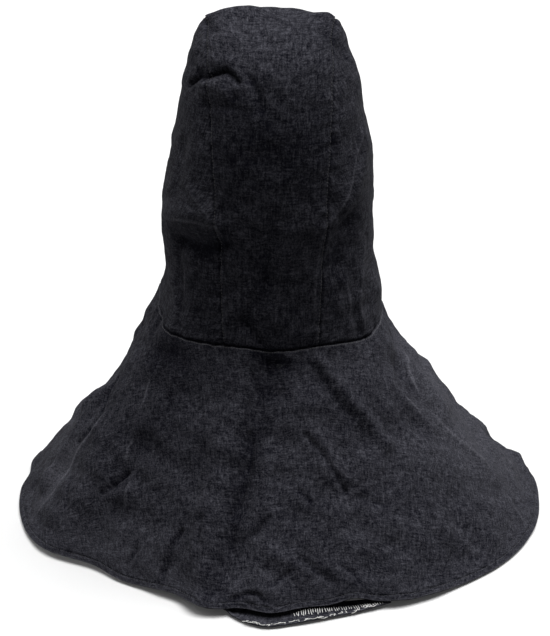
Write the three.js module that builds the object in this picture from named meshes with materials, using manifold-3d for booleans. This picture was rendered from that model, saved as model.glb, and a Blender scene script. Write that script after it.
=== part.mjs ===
// Denim welding hood, standing on the hem of its shoulder cape: a head bag of three sewn panels with an
// open face, a flared cape sewn to its neck, and a stretch of the hem's turned-under edge that has slipped
// out at the back.
// Millimetres, +Z up. The back of the hood faces -Y, the face opening faces +Y, and the floor is at z = 0.
import * as THREE from "three";
import { mergeVertices } from "three/addons/utils/BufferGeometryUtils.js";
import Module from "manifold-3d";

const wasm = await Module();
wasm.setup();

const { degToRad, lerp, smoothstep } = THREE.MathUtils;

// Cloth and seams
const CLOTH = 1.6;
const HEM_CLOTH = 2 * CLOTH;
const SEAM_SLIT = 0.6;
const COLLAR_RISE = 0.3;
const COLLAR_GAP = 0.6;
const NECK_GAP = 0.5;

// The bag's axis stands a little to the left of the cape's centre
const BAG_AXIS_X = -12;
const SQUARENESS = 2.2;

// Head bag: outline at each height, as the reach from its axis to each side, and half of the centre
// panel's width
const BAG_SECTIONS = [
  { height: 232, left: 132, right: 123, back: 112, front: 108, seam: 51 },
  { height: 270, left: 117, right: 119, back: 113, front: 107, seam: 53 },
  { height: 304, left: 115, right: 113, back: 113, front: 106, seam: 54 },
  { height: 342, left: 118, right: 110, back: 115, front: 107, seam: 56 },
  { height: 381, left: 114, right: 111, back: 117, front: 109, seam: 58 },
  { height: 421, left: 106, right: 107, back: 117, front: 110, seam: 60 },
  { height: 461, left: 99, right: 100, back: 113, front: 107, seam: 63 },
  { height: 501, left: 91, right: 93, back: 102, front: 98, seam: 65 },
  { height: 530, left: 82, right: 82, back: 84, front: 82, seam: 66 },
  { height: 553, left: 72, right: 73, back: 52, front: 52, seam: 66.5 },
  { height: 563, left: 67, right: 67, back: 0, front: 0, seam: 67 },
];
const TOP = BAG_SECTIONS.length - 1;

// The crown is arched across its top: higher in the middle, lower at the corners
const CROWN = { arch: 8, middleShare: 0.4, halfWidth: 67, rows: 2, roundAbove: 490 };

// Dents (lift below 0) and ridges of the bag, each along a line between two places on it; turn is in
// degrees seen from above, with the right side at 0 and the back at -90
const BAG_FOLDS = [
  { fromTurn: -152, fromHeight: 524, toTurn: -118, toHeight: 534, width: 10, lift: -7 },
  { fromTurn: -137, fromHeight: 515, toTurn: -124, toHeight: 515, width: 10, lift: 5 },
  { fromTurn: -97, fromHeight: 522, toTurn: -94, toHeight: 500, width: 9, lift: -3 },
  { fromTurn: -140, fromHeight: 563, toTurn: -122, toHeight: 563, width: 18, lift: 3 },
  { fromTurn: -172, fromHeight: 345, toTurn: -128, toHeight: 374, width: 10, lift: 5 },
  { fromTurn: -146, fromHeight: 340, toTurn: -122, toHeight: 346, width: 15, lift: -8 },
  { fromTurn: -16, fromHeight: 436, toTurn: -40, toHeight: 386, width: 11, lift: 6 },
  { fromTurn: -40, fromHeight: 386, toTurn: -60, toHeight: 364, width: 11, lift: 5 },
  { fromTurn: -30, fromHeight: 362, toTurn: -42, toHeight: 350, width: 14, lift: -7 },
  { fromTurn: -118, fromHeight: 374, toTurn: -62, toHeight: 370, width: 11, lift: 2.5 },
  { fromTurn: -152, fromHeight: 305, toTurn: -147, toHeight: 262, width: 11, lift: 4 },
  { fromTurn: -30, fromHeight: 318, toTurn: -36, toHeight: 262, width: 11, lift: 4 },
];

// Oval face opening in the front of the bag
const FACE = { height: 402, halfWidth: 76, halfHeight: 96 };
const FACE_CUT = { from: 20, depth: 160, segments: 20 };
const CHIN_PLACE = 3;
const BROW_PLACE = 5.3;
const CENTRE_PANEL_END = 5.6;
const SIDE_STOP = 0.3;

// Cape, at even steps down its slope: reach from the neck outline (0) to the hem outline (1), and height
// from the hem (0) to the neck (1)
const CAPE_PROFILE = [
  { drop: 0, reach: 0, height: 1 },
  { drop: 0.125, reach: 0.09, height: 0.875 },
  { drop: 0.25, reach: 0.215, height: 0.745 },
  { drop: 0.375, reach: 0.345, height: 0.615 },
  { drop: 0.5, reach: 0.48, height: 0.485 },
  { drop: 0.625, reach: 0.62, height: 0.35 },
  { drop: 0.75, reach: 0.76, height: 0.215 },
  { drop: 0.875, reach: 0.895, height: 0.085 },
  { drop: 1, reach: 1, height: 0 },
];
const HEM_DROP = 0.955;
const CAPE_LEAN = 0.8;

// Hem outline: reach from the cape's centre at even steps of turn
const HEM_OUTLINE = [
  { turn: -180, reach: 299 },
  { turn: -150, reach: 291 },
  { turn: -120, reach: 257 },
  { turn: -90, reach: 263 },
  { turn: -60, reach: 277 },
  { turn: -30, reach: 290 },
  { turn: 0, reach: 293 },
  { turn: 30, reach: 292 },
  { turn: 60, reach: 285 },
  { turn: 90, reach: 280 },
  { turn: 120, reach: 287 },
  { turn: 150, reach: 301 },
];

// Folds of the cape, as for the bag, with the place down the slope in place of a height
const CAPE_FOLDS = [
  { fromTurn: -170, fromDrop: 0.3, toTurn: -168, toDrop: 0.95, width: 10, lift: 8 },
  { fromTurn: 159, fromDrop: 0.3, toTurn: 161, toDrop: 0.6, width: 26, lift: -21 },
  { fromTurn: 148, fromDrop: 0.72, toTurn: 149, toDrop: 0.9, width: 26, lift: 5 },
  { fromTurn: -17, fromDrop: 0.28, toTurn: -15, toDrop: 0.95, width: 11, lift: 6 },
  { fromTurn: 22, fromDrop: 0.2, toTurn: 23, toDrop: 0.84, width: 28, lift: -17 },
  { fromTurn: -91, fromDrop: 0.03, toTurn: -97, toDrop: 0.7, width: 15, lift: -8 },
  { fromTurn: -80, fromDrop: 0.25, toTurn: -84, toDrop: 0.8, width: 20, lift: 5 },
  { fromTurn: -72, fromDrop: 0.05, toTurn: -57, toDrop: 0.42, width: 13, lift: 5 },
  { fromTurn: -134, fromDrop: 0.2, toTurn: -147, toDrop: 0.6, width: 8, lift: 5 },
  { fromTurn: -139, fromDrop: 0.68, toTurn: -149, toDrop: 0.72, width: 9, lift: -5 },
  { fromTurn: -117, fromDrop: 0.7, toTurn: -118, toDrop: 0.98, width: 10, lift: -5 },
  { fromTurn: -75, fromDrop: 0.5, toTurn: -71, toDrop: 0.68, width: 9, lift: -5 },
  { fromTurn: 62, fromDrop: 0.15, toTurn: 58, toDrop: 0.9, width: 24, lift: -9 },
  { fromTurn: 90, fromDrop: 0.15, toTurn: 88, toDrop: 0.9, width: 24, lift: 8 },
  { fromTurn: 118, fromDrop: 0.2, toTurn: 120, toDrop: 0.9, width: 22, lift: -10 },
];

// Waves where the hem lifts off the floor, and how far it bellies out there
const HEM_WAVES = [
  { turn: -134, spread: 8, lift: 0, out: -6 },
  { turn: -101, spread: 4, lift: 3.5, out: 0 },
  { turn: -93, spread: 5, lift: 1, out: 13 },
  { turn: -74, spread: 4.5, lift: 7, out: 0 },
  { turn: 22, spread: 8, lift: 3, out: 0 },
  { turn: 149, spread: 13, lift: 7, out: 0 },
];

// Slipped-out stretch of the hem's turned-under edge: how far it shows past the back hem, at even steps
// of turn
const FLAP_SHOWING = [
  { turn: -108, reach: 0 },
  { turn: -101, reach: 22 },
  { turn: -94, reach: 31 },
  { turn: -87, reach: 21 },
  { turn: -80, reach: 9 },
  { turn: -73, reach: 2 },
  { turn: -66, reach: 0 },
];
const FLAP_UNDER = 13;
const FLAP_GAP = 0.4;
const FLAP_RAMP = 6;
const FLAP_RIDE = 4.5;
const FLAP_RISE = FLAP_RIDE - CLOTH - FLAP_GAP;
const FLAP_SLOPE = 10;

// Mesh density
const BAG_ROWS = 22;
const CENTRE_COLUMNS = 10;
const CENTRE_ROWS = 36;
const SIDE_COLUMNS = 18;
const CAPE_COLUMNS = 96;
const CAPE_ROWS = 12;
const FLAP_COLUMNS = 20;
const FLAP_ROWS = 4;

const DENIM = { color: 0x2b2b31, roughness: 0.92, metalness: 0 };

// Value of a list of evenly spaced values at a place between them; the list has one extra value at each end
function splineAt(values, place) {
  const i = Math.min(Math.floor(place), values.length - 4);
  const f = place - i;
  const [a, b, c, d] = values.slice(i, i + 4);
  return b + 0.5 * f * (c - a + f * (2 * a - 5 * b + 4 * c - d + f * (3 * (b - c) + d - a)));
}

// A column of the bag's table, run on past the neck and mirrored over the crown
function bagColumn(name, overTheTop) {
  const values = BAG_SECTIONS.map((row) => row[name]);
  return [2 * values[0] - values[1], ...values, overTheTop * values[TOP - 1]];
}

const BAG = {
  height: bagColumn("height", 1),
  left: bagColumn("left", 1),
  right: bagColumn("right", 1),
  back: bagColumn("back", -1),
  front: bagColumn("front", -1),
  seam: bagColumn("seam", 1),
};

// Table column with its end slopes carried on
function openColumn(rows, name) {
  const v = rows.map((row) => row[name]);
  const n = v.length;
  return [2 * v[0] - v[1], ...v, 2 * v[n - 1] - v[n - 2]];
}

const CAPE_REACH = openColumn(CAPE_PROFILE, "reach");
const CAPE_HEIGHT = openColumn(CAPE_PROFILE, "height");
const FLAP_REACH = openColumn(FLAP_SHOWING, "reach");
const FLAP_FROM = FLAP_SHOWING[0].turn;
const FLAP_TO = FLAP_SHOWING.at(-1).turn;
const HEM_STEP = HEM_OUTLINE[1].turn - HEM_OUTLINE[0].turn;
const HEM_LOOP = [HEM_OUTLINE.at(-1), ...HEM_OUTLINE, ...HEM_OUTLINE.slice(0, 2)].map((row) => row.reach);

const power = (value, exponent) => Math.sign(value) * Math.abs(value) ** exponent;

// Difference of two angles in degrees, from -180 to 180
const turnBetween = (a, b) => ((((a - b) % 360) + 540) % 360) - 180;

// Bag surface without its folds; place runs from 0 at the neck to TOP at the crown
function bagSmooth(place, turn) {
  const c = power(Math.cos(turn), 2 / SQUARENESS);
  const s = power(Math.sin(turn), 2 / SQUARENESS);
  const side = splineAt(c < 0 ? BAG.left : BAG.right, place);
  const depth = Math.max(0, splineAt(s < 0 ? BAG.back : BAG.front, place));
  const x = side * c;
  const arch = CROWN.arch * (CROWN.middleShare - (x / CROWN.halfWidth) ** 2);
  const height = splineAt(BAG.height, place) + arch * smoothstep(place, TOP - CROWN.rows, TOP);
  return new THREE.Vector3(BAG_AXIS_X + x, depth * s, height);
}

function placeAtHeight(height) {
  let low = 0;
  let high = TOP;
  for (let step = 0; step < 30; step++) {
    const middle = (low + high) / 2;
    if (splineAt(BAG.height, middle) < height) low = middle;
    else high = middle;
  }
  return low;
}

// Folds as lines in space, each with the width and lift of its row
const lineOf = (row, from, to) => ({ line: new THREE.Line3(from, to), width: row.width, lift: row.lift });

const BAG_LINES = BAG_FOLDS.map((row) =>
  lineOf(
    row,
    bagSmooth(placeAtHeight(row.fromHeight), degToRad(row.fromTurn)),
    bagSmooth(placeAtHeight(row.toHeight), degToRad(row.toTurn)),
  ),
);

function foldLift(lines, point) {
  const nearest = new THREE.Vector3();
  let lift = 0;
  for (const fold of lines) {
    fold.line.closestPointToPoint(point, true, nearest);
    lift += fold.lift * Math.exp(-((nearest.distanceTo(point) / fold.width) ** 2));
  }
  return lift;
}

// The bag's folds move it sideways out of its axis, and upwards too near the crown
function bagPoint(place, turn) {
  const point = bagSmooth(place, turn);
  const rise = Math.max(0, point.z - CROWN.roundAbove);
  const away = new THREE.Vector3(point.x - BAG_AXIS_X, point.y, rise).normalize();
  return point.addScaledVector(away, foldLift(BAG_LINES, point));
}

const NORMAL_STEP = 0.03;
const CROWN_EDGE = TOP - 0.12;

// Outward normal of the bag, by small steps across and up it
function bagSlope(place, turn) {
  const across = bagPoint(place, turn + NORMAL_STEP).sub(bagPoint(place, turn - NORMAL_STEP));
  const up = bagPoint(place + NORMAL_STEP, turn).sub(bagPoint(place - NORMAL_STEP, turn));
  return across.cross(up).normalize();
}

// The same, with the back and front averaged on the crown's ridge
function bagNormal(place, turn) {
  const at = Math.min(Math.max(place, NORMAL_STEP), CROWN_EDGE);
  const normal = bagSlope(at, turn);
  if (place <= CROWN_EDGE) return normal;
  const share = (place - CROWN_EDGE) / (TOP - CROWN_EDGE);
  return normal.lerp(bagSlope(at, -turn), share / 2).normalize();
}

// Turn at which the bag's outline is x away from its axis, on the back (facing -1) or the front (facing 1)
function turnAtX(place, x, facing) {
  const side = splineAt(x < 0 ? BAG.left : BAG.right, place);
  return facing * Math.acos(power(THREE.MathUtils.clamp(x / side, -1, 1), SQUARENESS / 2));
}

// Closed solid between an outer and an inner grid of points, listed as rows of equal length.
// The rows of a ring join end to end.
function slab(outer, inner, ring) {
  const rows = outer.length;
  const columns = outer[0].length;
  const size = rows * columns;
  const positions = [...outer.flat(), ...inner.flat()].flatMap((point) => point.toArray());
  const index = [];
  const quad = (a, b, c, d) => index.push(a, b, c, a, c, d);
  const at = (row, column, layer) => layer * size + row * columns + (column % columns);
  const spans = ring ? columns : columns - 1;
  for (let column = 0; column < spans; column++) {
    for (let row = 0; row < rows - 1; row++) {
      const next = column + 1;
      quad(at(row, column, 0), at(row, next, 0), at(row + 1, next, 0), at(row + 1, column, 0));
      quad(at(row, column, 1), at(row + 1, column, 1), at(row + 1, next, 1), at(row, next, 1));
    }
    quad(at(0, column, 0), at(0, column, 1), at(0, column + 1, 1), at(0, column + 1, 0));
    const last = rows - 1;
    quad(at(last, column, 1), at(last, column, 0), at(last, column + 1, 0), at(last, column + 1, 1));
  }
  for (let row = 0; row < rows - 1 && !ring; row++) {
    const end = columns - 1;
    quad(at(row, 0, 1), at(row, 0, 0), at(row + 1, 0, 0), at(row + 1, 0, 1));
    quad(at(row, end, 0), at(row, end, 1), at(row + 1, end, 1), at(row + 1, end, 0));
  }
  const geometry = new THREE.BufferGeometry();
  geometry.setAttribute("position", new THREE.Float32BufferAttribute(positions, 3));
  geometry.setIndex(index);
  return geometry;
}

function grid(rows, columns, make) {
  return Array.from({ length: rows + 1 }, (_, row) =>
    Array.from({ length: columns + 1 }, (_, column) => make(row / rows, column / columns)),
  );
}

function solidOf(geometry) {
  const vertProperties = new Float32Array(geometry.getAttribute("position").array);
  const triVerts = new Uint32Array(geometry.index.array);
  return new wasm.Manifold(new wasm.Mesh({ numProp: 3, vertProperties, triVerts }));
}

function geometryOf(solid) {
  const { vertProperties, triVerts } = solid.getMesh();
  const geometry = new THREE.BufferGeometry();
  geometry.setAttribute("position", new THREE.BufferAttribute(vertProperties, 3));
  geometry.setIndex(new THREE.BufferAttribute(triVerts, 1));
  return geometry;
}

// Oval prism that cuts the face opening
function faceCutter() {
  const oval = new THREE.Shape();
  oval.absellipse(0, 0, FACE.halfWidth, FACE.halfHeight, 0, 2 * Math.PI);
  const prism = new THREE.ExtrudeGeometry(oval, {
    depth: FACE_CUT.depth,
    curveSegments: FACE_CUT.segments,
    bevelEnabled: false,
  });
  prism.deleteAttribute("normal");
  prism.deleteAttribute("uv");
  prism.rotateX(-Math.PI / 2);
  prism.translate(BAG_AXIS_X, FACE_CUT.from, FACE.height);
  return mergeVertices(prism);
}

// Bag panel between two grids made from one function of place and turn, with the face cut out of it
function bagPanel(places) {
  const outer = places.map((row) => row.map(({ place, turn }) => bagPoint(place, turn)));
  const inner = places.map((row, j) =>
    row.map(({ place, turn }, i) => outer[j][i].clone().addScaledVector(bagNormal(place, turn), -CLOTH)),
  );
  return slab(outer, inner, false);
}

// Centre panel: from the back of the neck up over the crown to the brow
function centrePanel() {
  const span = TOP + (TOP - CENTRE_PANEL_END);
  return bagPanel(
    grid(CENTRE_ROWS, CENTRE_COLUMNS, (along, across) => {
      const way = along * span;
      const facing = way <= TOP ? -1 : 1;
      const place = facing < 0 ? way : 2 * TOP - way;
      const half = splineAt(BAG.seam, place) - SEAM_SLIT / 2;
      return { place, turn: turnAtX(place, lerp(-half, half, across), facing) };
    }),
  );
}

// Side panel: from the centre panel's back seam round to its front seam, or to the middle below the chin
function sidePanel(side) {
  const end = TOP - SIDE_STOP;
  return bagPanel(
    grid(BAG_ROWS, SIDE_COLUMNS, (up, across) => {
      const place = up * end;
      const half = splineAt(BAG.seam, place) + SEAM_SLIT / 2;
      const brow = smoothstep(place, CHIN_PLACE, BROW_PLACE);
      const back = turnAtX(place, side * half, -1);
      const front = turnAtX(place, side * lerp(SEAM_SLIT / 2, half, brow), 1);
      const turn = side > 0 ? lerp(back, front, across) : lerp(front - 2 * Math.PI, back, across);
      return { place, turn };
    }),
  );
}

const hemCircle = (degrees) => splineAt(HEM_LOOP, ((((degrees + 180) % 360) + 360) % 360) / HEM_STEP);

// Sum of a column of the hem's waves at one turn
function hemWave(degrees, column) {
  const waves = HEM_WAVES.map((wave) => {
    return wave[column] * Math.exp(-((turnBetween(degrees, wave.turn) / wave.spread) ** 2));
  });
  return waves.reduce((sum, wave) => sum + wave, 0);
}

// Height of the hem's underside: it rides over the flap and lifts in waves
function hemLift(degrees) {
  const on = smoothstep(degrees, FLAP_FROM - FLAP_RAMP, FLAP_FROM);
  const off = smoothstep(degrees, FLAP_TO, FLAP_TO + FLAP_RAMP);
  return FLAP_RIDE * (on - off) + hemWave(degrees, "lift");
}

function capeSmooth(drop, turn) {
  const degrees = turnBetween(THREE.MathUtils.radToDeg(turn), 0);
  const neck = bagPoint(0, turn);
  const reach = hemCircle(degrees) + hemWave(degrees, "out");
  const height = HEM_CLOTH + hemLift(degrees);
  const hem = new THREE.Vector3(reach * Math.cos(turn), reach * Math.sin(turn), height);
  const place = drop * (CAPE_PROFILE.length - 1);
  const out = splineAt(CAPE_REACH, place);
  const down = 1 - Math.max(0, splineAt(CAPE_HEIGHT, place));
  return new THREE.Vector3(
    lerp(neck.x, hem.x, out),
    lerp(neck.y, hem.y, out),
    lerp(neck.z - NECK_GAP, hem.z, drop >= HEM_DROP ? 1 : down),
  );
}

const CAPE_LINES = CAPE_FOLDS.map((row) =>
  lineOf(
    row,
    capeSmooth(row.fromDrop, degToRad(row.fromTurn)),
    capeSmooth(row.toDrop, degToRad(row.toTurn)),
  ),
);

function capePoint(drop, turn) {
  const point = capeSmooth(drop, turn);
  const calm = smoothstep(drop, 0, 0.1) * (1 - smoothstep(drop, 0.9, HEM_DROP));
  const away = new THREE.Vector3(Math.cos(turn), Math.sin(turn), CAPE_LEAN).normalize();
  return point.addScaledVector(away, calm * foldLift(CAPE_LINES, point));
}

// Cape: from the hem up to the neck, then a collar turned up inside the bag
function cape() {
  const drops = Array.from({ length: CAPE_ROWS }, (_, row) => HEM_DROP * (1 - (row + 1) / CAPE_ROWS));
  const rows = [1, HEM_DROP, ...drops];
  const turnStep = (2 * Math.PI) / CAPE_COLUMNS;
  const turns = Array.from({ length: CAPE_COLUMNS }, (_, column) => column * turnStep - Math.PI);
  const outer = rows.map((drop) => turns.map((turn) => capePoint(drop, turn)));
  const inset = CLOTH + COLLAR_GAP;
  for (const place of [0, COLLAR_RISE]) {
    outer.push(
      turns.map((turn) => {
        const point = bagPoint(place, turn).addScaledVector(bagNormal(place, turn), -inset);
        point.z -= NECK_GAP;
        return point;
      }),
    );
  }
  const up = new THREE.Vector3(0, 0, 1);
  const inner = outer.map((row, j) =>
    row.map((point, i) => {
      const hem = j < 2;
      const before = row.at(i - 1);
      const after = row[(i + 1) % row.length];
      const below = outer[Math.max(0, j - 1)][i];
      const above = outer[Math.min(outer.length - 1, j + 1)][i];
      const slope = after.clone().sub(before).cross(above.clone().sub(below)).normalize();
      return point.clone().addScaledVector(hem ? up : slope, hem ? -HEM_CLOTH : -CLOTH);
    }),
  );
  return slab(outer, inner, true);
}

// Flap: a strip that slopes from under the hem band down to the floor, and shows most near the middle
// of the back
function hemFlap() {
  const strip = (height) =>
    grid(FLAP_ROWS, FLAP_COLUMNS, (inward, along) => {
      const degrees = lerp(FLAP_FROM, FLAP_TO, along);
      const showing = Math.max(0, splineAt(FLAP_REACH, along * (FLAP_SHOWING.length - 1)));
      const past = lerp(showing, -FLAP_UNDER, inward);
      const reach = hemCircle(degrees) + past;
      const rise = FLAP_RISE * (1 - smoothstep(past, 0, FLAP_SLOPE));
      const turn = degToRad(degrees);
      return new THREE.Vector3(reach * Math.cos(turn), reach * Math.sin(turn), height + rise);
    });
  return slab(strip(CLOTH), strip(0), false);
}

function piece(name, geometry) {
  const mesh = new THREE.Mesh(geometry, new THREE.MeshStandardMaterial(DENIM));
  mesh.name = name;
  return mesh;
}

const face = solidOf(faceCutter());
const openFaced = (panel) => geometryOf(solidOf(panel).subtract(face));

const hood = new THREE.Group();
hood.add(
  piece("centre_panel", openFaced(centrePanel())),
  piece("side_panel_left", openFaced(sidePanel(-1))),
  piece("side_panel_right", openFaced(sidePanel(1))),
  piece("cape", cape()),
  piece("hem_flap", hemFlap()),
);

// The origin is on the floor, below the middle of the whole hood
const middle = new THREE.Box3().setFromObject(hood).getCenter(new THREE.Vector3());
hood.position.set(-middle.x, -middle.y, 0);

export default hood;
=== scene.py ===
"""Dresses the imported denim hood: cloth panels with their folds, seams, stitches and overlock."""

import logging
import math
from collections.abc import Callable, Sequence
from dataclasses import dataclass, field, fields
from enum import Enum

import bpy
import numpy as np
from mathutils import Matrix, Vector
from numpy.typing import NDArray


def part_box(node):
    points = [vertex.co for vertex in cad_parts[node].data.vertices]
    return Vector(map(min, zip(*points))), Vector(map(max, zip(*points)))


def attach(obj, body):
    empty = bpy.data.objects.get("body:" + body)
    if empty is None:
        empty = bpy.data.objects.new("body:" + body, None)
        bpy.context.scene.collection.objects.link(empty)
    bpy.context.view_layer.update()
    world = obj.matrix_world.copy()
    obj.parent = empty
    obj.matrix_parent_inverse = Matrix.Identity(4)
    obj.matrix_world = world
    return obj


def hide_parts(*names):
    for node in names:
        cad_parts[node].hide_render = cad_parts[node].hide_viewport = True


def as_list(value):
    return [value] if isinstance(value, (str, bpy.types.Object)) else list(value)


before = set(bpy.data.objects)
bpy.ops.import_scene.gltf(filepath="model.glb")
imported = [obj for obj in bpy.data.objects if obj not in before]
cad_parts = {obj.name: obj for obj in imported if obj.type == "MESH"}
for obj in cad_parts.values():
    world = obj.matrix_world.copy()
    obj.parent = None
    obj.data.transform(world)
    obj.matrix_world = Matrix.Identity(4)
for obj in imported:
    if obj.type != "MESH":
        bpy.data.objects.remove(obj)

LOG = logging.getLogger("denim_hood")
BODY = "root"
MM = 0.001
HALF_TURN = 180.0
FAR = 99.0
TINY = 1e-9
FINE_STEPS = 400
SEAM_POINTS, FACE_POINTS, NECK_POINTS, HEM_POINTS = 420, 260, 500, 900
PATTERN = "pattern"
# Name of the point attribute that carries the cloth's real wear together with painted shade (below 0) and
# painted light (above 0).
WEAR_AND_SHADING = "wear"

Array = NDArray[np.float64]
Colour = tuple[float, float, float]


class FoldShape(Enum):
    """How a fold's lift falls off beside its line."""

    SOFT = "soft"
    CREASE = "crease"


class Slot(Enum):
    """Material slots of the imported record."""

    DENIM = "denim"
    THREAD = "denim_thread"
    OVERLOCK = "white_thread"


def smoothstep(value: Array, low: float, high: float) -> Array:
    """Eased step from 0 at low to 1 at high."""
    share = np.clip((value - low) / (high - low), 0.0, 1.0)
    return share * share * (3.0 - 2.0 * share)


def bell(value: Array, width: float) -> Array:
    """Bell curve of that half width, 1 in its middle."""
    return np.exp(-((value / width) ** 2))


def signed_power(value: Array, power: float) -> Array:
    """Power of a value's size, with its sign kept."""
    return np.sign(value) * np.abs(value) ** power


def unit(vectors: Array) -> Array:
    """Vectors cut to length 1."""
    return vectors / np.maximum(np.linalg.norm(vectors, axis=-1, keepdims=True), TINY)


def eased(count: int, ends: float) -> Array:
    """Values from 0 to 1 whose steps are smaller near both ends."""
    share = np.linspace(0.0, 1.0, count)
    return share - ends * np.sin(2 * math.pi * share) / (2 * math.pi)


def turn_between(a: Array, b: float) -> Array:
    """Difference of two angles in degrees, from -180 to 180."""
    return (a - b + HALF_TURN) % (2 * HALF_TURN) - HALF_TURN


def placed(name: str, data: bpy.types.ID) -> bpy.types.Object:
    """Adds an object to the scene, at the origin.

    Args:
        name: Its name.
        data: Its mesh, light or camera.

    Returns:
        The object.
    """
    piece = bpy.data.objects.new(name, data)
    bpy.context.scene.collection.objects.link(piece)
    return piece


def lengths_along(points: Array, axis: int) -> Array:
    """Length run along one axis of a grid of points, from 0 at its start."""
    steps = np.linalg.norm(np.diff(points, axis=axis), axis=-1)
    return np.insert(np.cumsum(steps, axis=axis), 0, 0.0, axis=axis)


class EvenSpline:
    """Smooth curve through values that stand at whole-numbered places."""

    def __init__(self, values: Sequence[float], below: float, above: float) -> None:
        """Keeps the values with one more below the first and one above the last."""
        self.values = np.array([below, *values, above], dtype=float)
        self.spans = len(values) - 1

    @classmethod
    def open(cls, values: Sequence[float]) -> "EvenSpline":
        """Spline whose end slopes carry on."""
        return cls(values, 2 * values[0] - values[1], 2 * values[-1] - values[-2])

    def at(self, place: Array) -> Array:
        """Value of the curve.

        Args:
            place: Places from 0 to the number of spans.

        Returns:
            The value at each place.
        """
        start = np.clip(np.floor(place), 0, self.spans - 1).astype(int)
        f = place - start
        a, b, c, d = (self.values[start + k] for k in range(4))
        return b + 0.5 * f * (c - a + f * (2 * a - 5 * b + 4 * c - d + f * (3 * (b - c) + d - a)))


@dataclass(frozen=True)
class Ripple:
    """Seeded field of soft waves in the cloth, by wave length and height in millimetres."""

    length: float
    height: float
    seed: int
    waves: int = 18
    paces: tuple[float, float] = (0.7, 1.4)

    def at(self, points: Array) -> Array:
        """Lift of the waves.

        Args:
            points: Places in space or on the pattern, in millimetres.

        Returns:
            The lift at each place.
        """
        chance = np.random.default_rng(self.seed)
        total = np.zeros(points.shape[:-1])
        for _ in range(self.waves):
            heading = unit(chance.normal(size=points.shape[-1]))
            pace = 2 * math.pi / self.length * chance.uniform(*self.paces)
            total += np.cos(points @ (heading * pace) + chance.uniform(0.0, 2 * math.pi))
        return self.height * total / math.sqrt(self.waves / 2)


@dataclass(frozen=True)
class Mark:
    """Change of the cloth beside an edge or a seam: its amount, half width and distance in millimetres."""

    amount: float
    width: float
    away: float = 0.0

    def at(self, gap: Array) -> Array:
        """Amount at distances from the edge."""
        return self.amount * bell(gap - self.away, self.width)


@dataclass(frozen=True)
class Fold:
    """Dent or ridge of the cloth along a path of places, each a turn in degrees and a level.

    The level is a height in millimetres on the bag, and a share of the drop on the cape. Wear above 0 rubs
    the line pale; below 0 it is painted shade across the fold's dent.
    """

    path: tuple[tuple[float, float], ...]
    width: float
    lift: float
    wear: float = 0.0
    shape: FoldShape = FoldShape.SOFT


@dataclass(frozen=True)
class PaintedShading:
    """Broad patch of painted light where above 0 and painted shade where below 0: its turn, level, the spread
    of both and its amount.
    """

    turn: float
    level: float
    wide: float
    tall: float
    amount: float

    def at(self, degrees: Array, level: Array) -> Array:
        """Painted light and shade that the patch adds."""
        across = bell(turn_between(degrees, self.turn), self.wide)
        return self.amount * across * bell(level - self.level, self.tall)


class FoldField:
    """The folds of one surface as lines in space, with their lift and wear at any point."""

    STEPS = 4
    WEAR_WIDTH = 1.5
    FELT_WIDTHS = 4.0
    END_POWER = 4

    def __init__(self, folds: Sequence[Fold], surface: Callable[[Array, Array], Array]) -> None:
        """Lays each fold on its surface.

        Args:
            folds: Rows of folds.
            surface: Gives points in space from levels and turns in degrees.
        """
        self.folds = folds
        self.lines = []
        for fold in folds:
            path = np.array(fold.path, dtype=float)
            spans = len(path) - 1
            share = np.linspace(0.0, spans, self.STEPS * spans + 1)
            turn, level = (np.interp(share, np.arange(spans + 1), path[:, k]) for k in (0, 1))
            self.lines.append(surface(level, turn))

    @staticmethod
    def nearest(points: Array, line: Array) -> tuple[Array, Array]:
        """Distance to a line and the share of its length at the nearest place.

        Args:
            points: Points as rows.
            line: Points of the line in order.

        Returns:
            The distances, and the shares from 0 to 1.
        """
        best = np.full(len(points), np.inf)
        share = np.zeros(len(points))
        for i, (start, end) in enumerate(zip(line[:-1], line[1:])):
            run = end - start
            t = np.clip((points - start) @ run / max(run @ run, TINY), 0.0, 1.0)
            gap = np.linalg.norm(points - start - t[:, None] * run, axis=1)
            share = np.where(gap < best, (i + t) / (len(line) - 1), share)
            best = np.minimum(best, gap)
        return best, share

    def measure(self, points: Array) -> tuple[Array, Array]:
        """Lift, and wear with painted shade, of all folds.

        Args:
            points: Grid of points of the smooth surface, in millimetres.

        Returns:
            The lift along the surface's outward way, and the wear with painted shade below 0, from -1 to 1.
        """
        flat = points.reshape(-1, 3)
        lift = np.zeros(len(flat))
        worn = np.zeros(len(flat))
        painted_shade = np.zeros(len(flat))
        for fold, line in zip(self.folds, self.lines):
            middle = (line.min(axis=0) + line.max(axis=0)) / 2
            half = np.linalg.norm(line - middle, axis=1).max()
            far = half + self.FELT_WIDTHS * fold.width + self.WEAR_WIDTH
            near = np.nonzero(np.linalg.norm(flat - middle, axis=1) < far)[0]
            gap, share = self.nearest(flat[near], line)
            soft = fold.shape is FoldShape.SOFT
            fall = bell(gap, fold.width) if soft else np.exp(-gap / fold.width)
            lift[near] += fold.lift * fall
            fade = 1.0 - np.abs(2.0 * share - 1.0) ** self.END_POWER
            # Above 0 the line is rubbed pale; below 0 shade is painted across the dent.
            if fold.wear > 0:
                worn[near] = np.maximum(worn[near], fold.wear * fade * bell(gap, self.WEAR_WIDTH))
            else:
                painted_shade[near] += fold.wear * bell(gap, fold.width)
        wear = np.clip(worn + painted_shade, -1.0, 1.0)
        return lift.reshape(points.shape[:-1]), wear.reshape(points.shape[:-1])


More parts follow.
